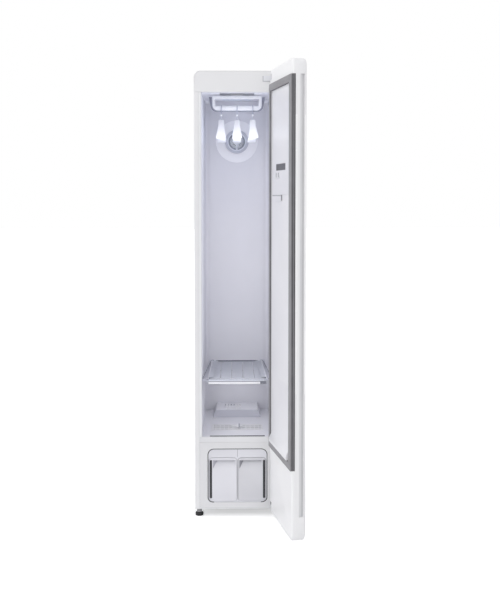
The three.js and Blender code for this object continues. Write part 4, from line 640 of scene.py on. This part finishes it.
# Hangers: three broad white hangers, seen end on, each moulded with drooping shoulders and a
# polished wire hook that wraps round the rail's bar. A small ball collar sits on each wire.
half_span, neck, tip, boxiness = 167.8, 14, 146, 0.34
collar_radius, collar_height, hook_bend, hook_height = 5, 1688, 14.6, 1716
chrome = surface(
    "polished wire", (214, 217, 226), (198, 202, 214), (0.1, 0.2),
    blotch=30, grain=(600, 0.05, 0.00002), Metallic=1.0)
hanger_white = surface(
    "hanger white", (247, 247, 250), (244, 244, 248), (0.3, 0.38),
    blotch=8, grain=(1200, 0.05, 0.00002), Coat_Weight=0.1, Coat_Roughness=0.2)


def tube(name, path, radius, finish, closed=False):
    """A round bar or wire along a path of points."""
    rings = []
    normal = None
    for i, here in enumerate(path):
        before = path[i - 1] if i or closed else path[0]
        after = path[(i + 1) % len(path)] if i + 1 < len(path) or closed else path[-1]
        along = (after - before).normalized()
        if normal is None:
            normal = along.orthogonal().normalized()
        normal = (normal - along * normal.dot(along)).normalized()
        side = along.cross(normal)
        rings.append([here + (normal * math.cos(a) + side * math.sin(a)) * radius * MM
                      for a in turns(14)])
    return lofted(name, rings, finish, closed, 60)


def shoulder_ring(x, y):
    """The hanger's section at a place from its front tip, -half_span, to its back tip."""
    reach = abs(y)
    over = max(0.0, reach - neck)
    top = 1668 - over * 80 / 146
    bottom = 1620 - over * 44 / 153 if reach < 150 else 1580.9 - (reach - 150) * 0.2
    wide = 13 + 8 * max(0.0, over - 50) / 96
    droop = 3 * (over / 146) ** 3 if y < 0 else 0
    bottom -= droop
    centre = (top + bottom) / 2
    high = (top - bottom) / 2
    if reach > tip:
        pinch = math.sqrt(max(0.0, 1 - ((reach - tip) / 22) ** 2))
        high *= pinch
        wide *= 0.75 + 0.25 * pinch
    high = max(0.05, high)
    ring = []
    for a in turns(28):
        sag = droop * 0.6 * math.cos(a) if math.sin(a) < 0 else 0
        ring.append(at(x + wide * squared(math.cos(a), boxiness), rail_place + y,
                       centre + high * squared(math.sin(a), boxiness) + sag))
    return ring


for name, x in (("left", -68), ("middle", 0), ("right", 68)):
    shoulders = lofted(name + "_hanger_shoulders", [
        shoulder_ring(x, half_span * math.sin(-math.pi / 2 + math.pi * i / 60))
        for i in range(61)], hanger_white, False, 70)
    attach(shoulders, name + "_hanger")
    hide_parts(name + "_hanger")
    hook_path = [at(x, rail_place, z) for z in (1652, 1668, 1684)] + [at(x, rail_place - 1, 1692)]
    for k in range(33):
        a = math.radians(-125 - 265 * k / 32)
        hook_path.append(at(
            x, rail_place + hook_bend * math.cos(a), hook_height + hook_bend * math.sin(a)))
    hook = tube(name + "_hanger_wire", hook_path, 1.8, chrome)
    collar_rings = []
    for k in range(1, 12):
        a = math.pi * k / 12
        out = collar_radius * math.sin(a)
        collar_rings.append([
            at(x + out * math.cos(b), rail_place + out * math.sin(b),
               collar_height - collar_radius * math.cos(a)) for b in turns(18)])
    collar = lofted(name + "_hanger_collar", collar_rings, gloss, False, 70)
    for piece in (hook, collar):
        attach(piece, name + "_hanger")
        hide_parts(name + "_hanger_hook")

# Shelf: a slotted plastic plate in a polished wire frame, with a grey flat bar along its front
# edge.
# It narrows towards the back and slides on the ledges, between two fixed support rods. The bar has
# a painted highlight along its lower half and a dark right end, the gap behind it and a bar along
# the plate's back edge are painted shadow, and the side rods are white as painted highlight.
shelf_front, shelf_rear, wire_radius = 20, 438, 3
shelf_plastic = surface("shelf plastic", (194, 197, 205), (188, 191, 200), (0.32, 0.42), blotch=5)
shelf_rim = surface("shelf rim", (196, 198, 206), (190, 192, 201), (0.3, 0.4), blotch=8)
# Dark steel, also painted shadow along the shelf's back edge; it darkens the bar's right end too.
dark_steel_and_shadow = surface(
    "dark steel and painted shadow", (132, 134, 144), (118, 120, 130), (0.25, 0.4), blotch=30, Metallic=0.6)
support_steel = surface(
    "support steel", (196, 198, 206), (182, 184, 193), (0.2, 0.3), blotch=30, Metallic=0.5)
# The bar's grey, also painted shade beside the lint filter's grip.
bar_grey_and_shade = surface("shelf bar grey and painted shade", (168, 170, 179), (160, 162, 172), (0.3, 0.4), blotch=8)


def half_at(y):
    """Half the shelf's width at a depth."""
    return 124 - 20 * (y - shelf_front) / (shelf_rear - shelf_front)


slat_start, slat_end = 58, shelf_rear - 9
slat_gaps = (-74.5, -69.5, -26.5, -21.5, 21.5, 26.5, 69.5, 74.5)
near, far = ([11 - half_at(y), *slat_gaps, half_at(y) - 11] for y in (slat_start, slat_end))
shelf_pieces = []
for k in range(5):
    left, right = 2 * k, 2 * k + 1
    corners = [(near[left], slat_start), (near[right], slat_start),
               (far[right], slat_end), (far[left], slat_end)]
    shelf_pieces.append(softened(lofted(f"shelf_slat_{k}", [
        [at(x, y, z) for x, y in corners] for z in (570.2, 571.4)], shelf_plastic), 0.4))
for k, y in enumerate((shelf_front + 12, 222, shelf_rear - 14)):
    half = half_at(y) - 3
    shelf_pieces.append(block(
        f"shelf_bridge_{k}", (-half, y, 568.6), (half, y + 8, 570.4), shelf_plastic, 0.3))
shelf_corners = [(-120.8, 23.2), (120.8, 23.2), (100.9, 434.8), (-100.9, 434.8)]
shelf_pieces.append(tube("shelf_frame", [
    at(p.x, p.y, 570) for p in rounded(shelf_corners, [4, 4, 12, 12], 6)],
    wire_radius, chrome, True))
for hand, side in (("left", -1), ("right", 1)):
    rod_path = [at(side * (123 - 9.5 * (y - 32) / 395), y, 575.4) for y in (32, 130, 230, 330, 427)]
    flap_edges = [(side * x, y) for x, y in ((103, 58), (122.4, 58), (113.4, 427), (86, 427))]
    # The side rods are white as a painted highlight on polished wire.
    shelf_pieces += [
        tube(f"shelf_side_rod_{hand}", rod_path, 1.5, rib_white_and_highlight),
        softened(lofted(f"shelf_side_flap_{hand}", [
            [at(x, y, z) for x, y in flap_edges[::side]] for z in (574.3, 575.3)],
            shelf_plastic), 0.3),
    ]
    support_rod = tube(f"shelf_support_rod_{hand}", [at(side * x, y, 576) for x, y in (
        (128, 27), (140, 26.6), (144.4, 32), (120.5, 428), (117, 435), (108, 436.4))],
        1.7, support_steel)
    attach(support_rod, "cabinet")
bar_section = rounded([(19.9, 554.6), (28.1, 554.6), (28.1, 570.4), (19.9, 570.4)], [3, 3, 3, 3], 5)
# The gap strip and the rear bar are painted shadow; the bar's white strip is a painted highlight.
shelf_pieces += [
    block("shelf_front_gap_shadow", (-107, 28.4, 568.9), (107, 41, 569.6), charcoal),
    block("shelf_front_rim", (-117, 41, 570.4), (117, 57, 572), shelf_rim),
    block("shelf_rear_shadow_bar", (-96, 431, 571), (96, 434, 576.4), dark_steel_and_shadow, 0.5),
    lofted("shelf_front_bar", [
        [at(x, p.x, p.y) for p in bar_section] for x in (-122, -121.4, 119.4, 120)], bar_grey_and_shade),
    block("shelf_bar_highlight", (-121, 19.5, 555.6), (95, 20, 562.4), rib_white_and_highlight),
    block("shelf_bar_end", (95.4, 19.5, 555.2), (119.6, 20, 566.6), dark_steel_and_shadow),
]
for k, x in enumerate((-123.7, 120.3)):
    shelf_pieces.append(block(
        f"shelf_end_cap_{k}", (x, 20.2, 553.9), (x + 3.4, 28.4, 571.2), shelf_plastic, 0.6))
for piece in shelf_pieces:
    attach(piece, "shelf")
    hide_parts("shelf_rack")

# Lint filter: a moulded frame with bars and a grip, over a fine woven gauze that is welded under
# the bars. It drops into an opening in the chamber floor.
filter_white = surface(
    "filter plastic", (232, 232, 235), (226, 226, 230), (0.4, 0.55), blotch=10)
gauze_weave = surface(
    "woven gauze", (214, 214, 217), (198, 198, 202), (0.6, 0.8),
    blotch=300, grain=(2600, 0.6, 0.0002))
low, high = (placed(corner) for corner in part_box("lint_filter"))
for piece in (
    as_drawn("lint_filter", filter_white, 0.4),
    block("filter_gauze", (low.x + 6, low.y + 6, low.z + 0.8),
          (high.x - 6, high.y - 6, low.z + 1.2), gauze_weave),
    block("filter_grip", (-3, low.y + 26, high.z - 1), (5, high.y - 22, high.z + 1.6),
          rib_white_and_highlight, 0.3),
    # A grey strip beside the grip, painted shade.
    block("filter_grip_painted_shade", (5.4, low.y + 26, high.z - 1), (11, high.y - 22, high.z + 1.6),
          bar_grey_and_shade, 0.3),
):
    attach(piece, "lint_filter")

# Tank bay: a moulding behind the lower front, with a plain band over the two tanks. Its rim in the
# panel's cut-out and the gap round it stay in shadow, so they are dark, and a white trim with a
# dark line of painted shadow runs round the mouth.
bay_middle, trim_sheet, mouth_inset = 173, 0.5, 11
moulded = {"blotch": 5, "grain": (1200, 0.12, 0.00003), "Coat_Weight": 0.1, "Coat_Roughness": 0.25}
tank_white = surface("tank plastic", (228, 228, 234), (223, 223, 229), (0.3, 0.42), **moulded)
band_white = surface("band plastic", (210, 210, 216), (204, 204, 211), (0.3, 0.42), blotch=5)
# The mould line's grey, also painted shadow round the press cover's grip tab.
line_and_shadow_grey = surface("mould line and painted shadow grey", (150, 150, 155), (140, 140, 146), (0.5, 0.6))
tank_bay = as_drawn("tank_bay", tank_white, 0.3)
recoloured(tank_bay, gap_dark, lambda spots, normal: all(
    2.6 < p.y < 6 and p.z > 64 for p in spots))
recoloured(tank_bay, gap_dark, lambda spots, normal: abs(normal.y) < 0.5 and all(
    p.y < 3.2 and (abs(p.x) > 110 or p.z > 272) and p.z > 70 for p in spots))
recoloured(tank_bay, band_white, lambda spots, normal: normal.y < -0.9 and all(
    p.y < 2 and p.z > 248 and abs(p.x) < 121 for p in spots))


def bay_trim(name, outer, inner, y, finish, foot, low_radius):
    """A flat strip round the bay's mouth, open below, between two rounded outlines."""
    outlines = []
    for half, radius in (outer, inner):
        low, high = bay_middle - half + mouth_inset, bay_middle + half - mouth_inset
        low_bend = low_radius + radius - outer[1]
        outlines.append(rounded(
            [(foot, low), (half, low), (half, high), (-half, high), (-half, low), (-foot, low)],
            [0, low_bend, radius, radius, low_bend, 0], 10))
    back = y + trim_sheet
    return lofted(name, [
        [at(p.x, y, p.y), at(p.x, back, p.y), at(q.x, back, q.y), at(q.x, y, q.y)]
        for p, q in zip(*outlines)], finish)


for piece in (
    tank_bay,
    block("bay_split_line", (-0.6, 0.75, 250), (0.6, 1.15, 284.6), line_and_shadow_grey),
    bay_trim("bay_mouth_corners", (126.5, 19.5), (124, 26), -0.05, lower_enamel_painted_shade, 96, 20),
    bay_trim("bay_mouth_shadow_line", (124.9, 25.6), (122, 24), -0.15, gap_dark, 98, 22),
):
    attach(piece, "cabinet")

# Water tanks: supply on the left, drain on the right. Each is a blow-moulded vessel with a finger
# scoop and a dark gauge groove at its outer edge, and a loose lid under the band. The drain tank is
# a darker copy of the tank plastic as painted shade, and the scoops' flanks and tops are painted
# shade.
# A darker copy of the tank plastic, painted shade on the drain tank.
drain_painted_shade = surface(
    "drain tank painted shade", (216, 216, 221), (209, 209, 215), (0.3, 0.42), **moulded)
# Painted shade on the scoops' flanks and tops.
scoop_painted_shade = surface("scoop shade", (196, 196, 204), (188, 188, 197), (0.4, 0.5))
scoop_deep_painted_shade = surface("deep scoop shade", (160, 160, 167), (150, 150, 158), (0.4, 0.5))
for name, side, plastic, flank in (
    ("supply_tank", -1, tank_white, scoop_painted_shade), ("drain_tank", 1, drain_painted_shade, scoop_deep_painted_shade),
):
    tank = as_drawn(name, plastic, 0.9)
    recoloured(tank, gap_dark, lambda spots, normal: all(
        2.2 < p.y < 4 and 105.5 < p.x * side < 117 and 74 < p.z < 239 for p in spots))
    recoloured(tank, flank, lambda spots, normal: normal.x > 0.3 and all(
        1.8 < p.y < 30 and 5 < p.x * side < 104 and 198 < p.z < 238 for p in spots))
    recoloured(tank, scoop_deep_painted_shade, lambda spots, normal: normal.z < -0.5 and all(
        1.8 < p.y < 30 and 5 < p.x * side < 104 and 230 < p.z < 238 for p in spots))
    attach(tank, name)
    lid = as_drawn(name + "_lid", frosted)
    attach(lid, name)

# Machine compartment: finned coils, compressor, steam generator, pump, blower and control box on
# the base pan behind the tanks. They are bought-in parts in their usual metals and plastics.
bare_aluminium = surface(
    "bare aluminium", (196, 200, 206), (180, 186, 194), (0.3, 0.5), blotch=60, Metallic=0.9)
black_enamel = surface(
    "black enamel", (40, 41, 45), (33, 34, 38), (0.25, 0.38), blotch=10, Coat_Weight=0.3)
for node, body, finish, slot in (
    ("evaporator", "cabinet", bare_aluminium, "aluminium_fin"),
    ("condenser", "cabinet", bare_aluminium, "aluminium_fin"),
    ("compressor", "cabinet", black_enamel, "black_enamel"),
    ("steam_generator", "cabinet", zinc, "zinc_steel"),
    ("water_pump", "cabinet", charcoal, "dark_plastic"),
    ("blower_housing", "cabinet", charcoal, "dark_plastic"),
    ("blower_wheel", "blower_wheel", frosted, "frosted_plastic"),
    ("control_box", "cabinet", charcoal, "dark_plastic"),
    ("power_inlet", "cabinet", charcoal, "dark_plastic"),
):
    machine_part = as_drawn(node, finish)
    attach(machine_part, body)

# Levelling feet: black rubber pads with a waist, moulded onto plated collars. Their stems screw
# into the base pan.
stem_grey = surface(
    "stem plating", (158, 158, 160), (144, 144, 147), (0.35, 0.45), blotch=40)
rubber = surface(
    "black rubber", (44, 44, 46), (36, 36, 38), (0.6, 0.8), blotch=25, grain=(500, 0.3, 0.0002))
pad_profile = [
    (0, 0), (16.2, 0), (17, 0.8), (17, 4), (16.4, 4.8), (16.4, 5.8), (17, 6.6),
    (17, 9), (16, 11.6), (13.6, 13.4), (11, 14), (9.6, 14.2), (0, 14.2)]
stem_profile = [
    (0, 14), (9.8, 14), (10.6, 15), (10.6, 28.6), (9.6, 30), (6, 31.4),
    (5, 31.6), (5, 58.6), (4, 60), (0, 60)]
for name, x, y in (
    ("front_left_foot", -160, 22), ("front_right_foot", 160, 52),
    ("rear_left_foot", -160, 485), ("rear_right_foot", 160, 485),
):
    for part, profile, finish in (("pad", pad_profile, rubber), ("stem", stem_profile, stem_grey)):
        foot_part = lofted(f"{name}_{part}", [
            [at(x + r * math.cos(a), y + r * math.sin(a), z) for r, z in profile]
            for a in turns(40)], finish, True)
        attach(foot_part, name)
        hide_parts(name)

# Hinge brackets: pressed steel plates with an ear and a pin, screwed to the body's front. The upper
# one is white with a thin grey pad behind it as painted shadow, and the lower one is left dark.
bracket_steel = surface(
    "bracket steel", (112, 113, 117), (98, 99, 104), (0.3, 0.42), blotch=40, Metallic=0.4)
for piece in (
    as_drawn("upper_hinge_bracket", gloss, 0.6),
    as_drawn("lower_hinge_bracket", bracket_steel, 0.6),
    block("upper_bracket_shadow_pad", (103.6, -0.3, 1805.8), (140, -0.02, 1829.6), painted_shade_grey),
):
    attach(piece, "cabinet")

# Door: a deep white moulding with rounded edges, a finger groove down its free edge, pockets for
# the hinges, and a white-backed glass front. It turns on the two hinge pins. The groove is painted
# shade, darkest in a strip on the glass side, and two thin white strips down the free edge are
# painted highlights.
hinge_pin = Vector((161.5, -35))
opened = math.radians(101.3)
foot_rim, foot_drop = 46, 5
# Where the painted highlights run down the free edge.
highlight_outside, highlight_inside, highlight_foot, highlight_top = -177.62, -177.3, 600, 1640


def on_door(x, y, z):
    """The point that lies x, y and z on the shut door, where the open door has it."""
    spot = hinge_pin + Matrix.Rotation(opened, 2) @ (Vector((x, y)) - hinge_pin)
    return at(spot.x, spot.y, z)


def door_place(point):
    """A point of the frame as its x, y and z on the shut door."""
    spot = placed(point)
    flat = hinge_pin + Matrix.Rotation(-opened, 2) @ (spot.xy - hinge_pin)
    return Vector((flat.x, flat.y, spot.z))


gloss_door = surface(
    "door white", (246, 246, 246), (244, 244, 245), (0.34, 0.37),
    blotch=3, grain=(1300, 0.04, 0.00001), Coat_Weight=0.08, Coat_Roughness=0.3)
# Grey copies of the door white, painted shade in the finger groove.
groove_painted_shade = surface("groove shade", (232, 232, 233), (227, 227, 229), (0.3, 0.4), blotch=6)
groove_deep_painted_shade = surface("deep groove shade", (207, 207, 209), (202, 202, 204), (0.3, 0.4), blotch=6)
# Pure white for the painted highlights down the free edge.
highlight_white = surface("painted highlight white", (255, 255, 255), (252, 252, 252), (0.2, 0.3), blotch=6)
door_shell = as_drawn("door_shell", gloss_door, 0.7)
for corner in door_shell.data.vertices:
    if corner.co.z < foot_rim * MM:
        corner.co.z -= foot_drop * MM
recoloured(door_shell, groove_painted_shade, lambda spots, normal: all(
    -177.4 < p.x < -165 and -55 < p.y < -33 and 129 < p.z < 1791 for p in spots), door_place)
for piece in (
    door_shell,
    block("groove_deep_strip", (-169.62, -54.4, 131), (-169.3, -47, 1789), groove_deep_painted_shade,
          place=on_door),
    block("edge_highlight_inner", (highlight_outside, -27, highlight_foot), (highlight_inside, -19.8, highlight_top),
          highlight_white, place=on_door),
    block("edge_highlight_outer", (highlight_outside, -60, highlight_foot), (highlight_inside, -55.2, highlight_top),
          highlight_white, place=on_door),
):
    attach(piece, "door")
backed_glass = surface(
    "white-backed glass", (254, 254, 254), (252, 253, 253), (0.04, 0.08),
    blotch=3, grain=(200, 0.02, 0.00001), Coat_Weight=1.0, Coat_Roughness=0.03)
door_glass = as_drawn("door_glass", backed_glass, 0.6)
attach(door_glass, "door")

# Door lining: the flush inner panel with its drip lip and the well behind the press cover. It is
# vacuum-formed in white plastic and held by the door's rebate.
lining_white = surface(
    "lining white", (237, 237, 240), (232, 232, 236), (0.3, 0.42),
    grain=(1200, 0.12, 0.00003), Coat_Weight=0.15, Coat_Roughness=0.2)
door_lining = as_drawn("door_lining", lining_white, 0.6)
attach(door_lining, "door")

# Label plate and pressed line: a thin dark plastic plate, left bare, is glued to the lining above
# the trouser hooks. Under it a faint line is pressed into the lining.
plate_grey = surface(
    "dark label plate", (98, 98, 102), (84, 84, 89), (0.35, 0.5), blotch=60,
    grain=(900, 0.2, 0.00005))
label_plate = block(
    "bare_label_plate", (-72.5, -8.4, 1440), (67.5, -7.7, 1465.5), plate_grey, 0.3, on_door)
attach(label_plate, "door")
pressed_line = block(
    "lining_pressed_line", (-118, -8.5, 1372), (76, -7.7, 1374.4), lining_white, 0.3, on_door)
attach(pressed_line, "door")

# Door seal: a grey rubber bellows strip mitred all round the lining, with pinched sides and a
# deeper skirt down the free edge. It is extruded and pressed into the door's rebate. Its sides and
# skirt are painted shade, and down the hinge side a painted shade valley runs beside a painted
# highlight lip.
seal_foot, seal_top = (corner.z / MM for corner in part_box("door_seal"))
free_side, pin_side, seal_back, pleat_foot, pleat_top = -176.5, 165.5, -8, 330, 1770
bellows = {"blotch": 14, "grain": (700, 0.2, 0.00006)}
seal_grey = surface("seal rubber", (152, 151, 154), (142, 141, 144), (0.55, 0.7), **bellows)
# Darker copies of the seal rubber as painted shade, and a light copy as painted highlight.
seal_painted_shade = surface("seal painted shade", (112, 111, 114), (102, 101, 104), (0.55, 0.7), **bellows)
seal_deep_painted_shade = surface("seal deep painted shade", (94, 93, 96), (84, 83, 86), (0.55, 0.7), blotch=14)
seal_painted_light = surface("seal painted light", (226, 226, 229), (218, 218, 222), (0.5, 0.65), blotch=14)
seal_section = [
    (0, 0.3), (0.4, 1.6), (1.6, 2.4), (0.3, 3.6), (0.2, 5.4), (1.6, 6.7), (6, 7), (14, 6.5),
    (16, 6.5), (24, 7), (28.4, 6.7), (29.8, 5.4), (29.7, 3.6), (28.4, 2.4), (29.6, 1.6), (30, 0.3)]
door_seal = lofted("door_seal_ring", [
    [on_door(x + across * w, seal_back + h, z + up * w) for w, h in seal_section]
    for x, z, across, up in (
        (free_side, seal_foot, 1, 1), (pin_side, seal_foot, -1, 1),
        (pin_side, seal_top, -1, -1), (free_side, seal_top, 1, -1))], seal_grey, True, 25)
outward = (on_door(0, 1, 0) - on_door(0, 0, 0)).normalized()
recoloured(door_seal, seal_painted_shade, lambda spots, normal: abs(normal.dot(outward)) < 0.75)
recoloured(door_seal, seal_grey, lambda spots, normal: all(
    p.x < -174 and p.y > -5.8 for p in spots), door_place)
recoloured(door_seal, seal_deep_painted_shade, lambda spots, normal: all(
    134 < p.x < 150.5 and p.y > -4.6 and pleat_foot < p.z < pleat_top for p in spots), door_place)
recoloured(door_seal, seal_painted_light, lambda spots, normal: all(
    134 < p.x < 138 and p.y < -4.2 and pleat_foot < p.z < pleat_top for p in spots), door_place)
skirt_section = [
    (-170.2, -7.9), (-176.3, -7.9), (-176.5, -8.6), (-173.6, -9.8), (-173.8, -11), (-176.5, -12.2),
    (-176.5, -14.6), (-174, -15.8), (-174.2, -16.8), (-176.4, -17.6), (-176.4, -19.4),
    (-170.2, -19.4)]
seal_skirt = lofted("door_seal_skirt", [
    [on_door(x, y, z) for x, y in skirt_section] for z in (seal_foot, seal_top)], seal_painted_shade)
recoloured(seal_skirt, seal_grey, lambda spots, normal: all(
    p.x < -176 and -15 < p.y < -12 for p in spots), door_place)
for piece in (door_seal, seal_skirt):
    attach(piece, "door")
    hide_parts("door_seal")

# Press: a felt pad in the lining's well under a hinged plastic cover with a grip tab, for pressing
# trousers. They hang from the two small moulded hooks above it, each with a dark bar. A thin grey L
# along the tab's top and side is painted shadow.
felt = surface(
    "pressed felt", (214, 214, 218), (200, 200, 206), (0.85, 0.98),
    blotch=120, grain=(1500, 0.6, 0.0003), Sheen_Weight=0.3)
press_pad = as_drawn("press_pad", felt, 1.0)
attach(press_pad, "door")
press_cover = as_drawn("press_cover", lining_white)
# Painted shadow down the tab's side and along its top.
recoloured(press_cover, line_and_shadow_grey, lambda spots, normal: all(
    -33 < p.x < -31 and 1322 < p.z < 1346 for p in spots), door_place)
tab_line = block(
    "cover_tab_shadow_line", (-32, -2.4, 1340), (104, -1.8, 1342.8), line_and_shadow_grey, place=on_door)
for piece in (press_cover, tab_line):
    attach(piece, "press_cover")
for piece in (
    block("trouser_hook_bar_0", (27.4, -7.4, 1412.5), (30.4, -5.9, 1431), charcoal, 0.4, on_door),
    block("trouser_hook_bar_1", (61.4, -7.4, 1412.5), (64.4, -5.9, 1431), charcoal, 0.4, on_door),
    as_drawn("trouser_hooks", lining_white, 0.3),
):
    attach(piece, "door")
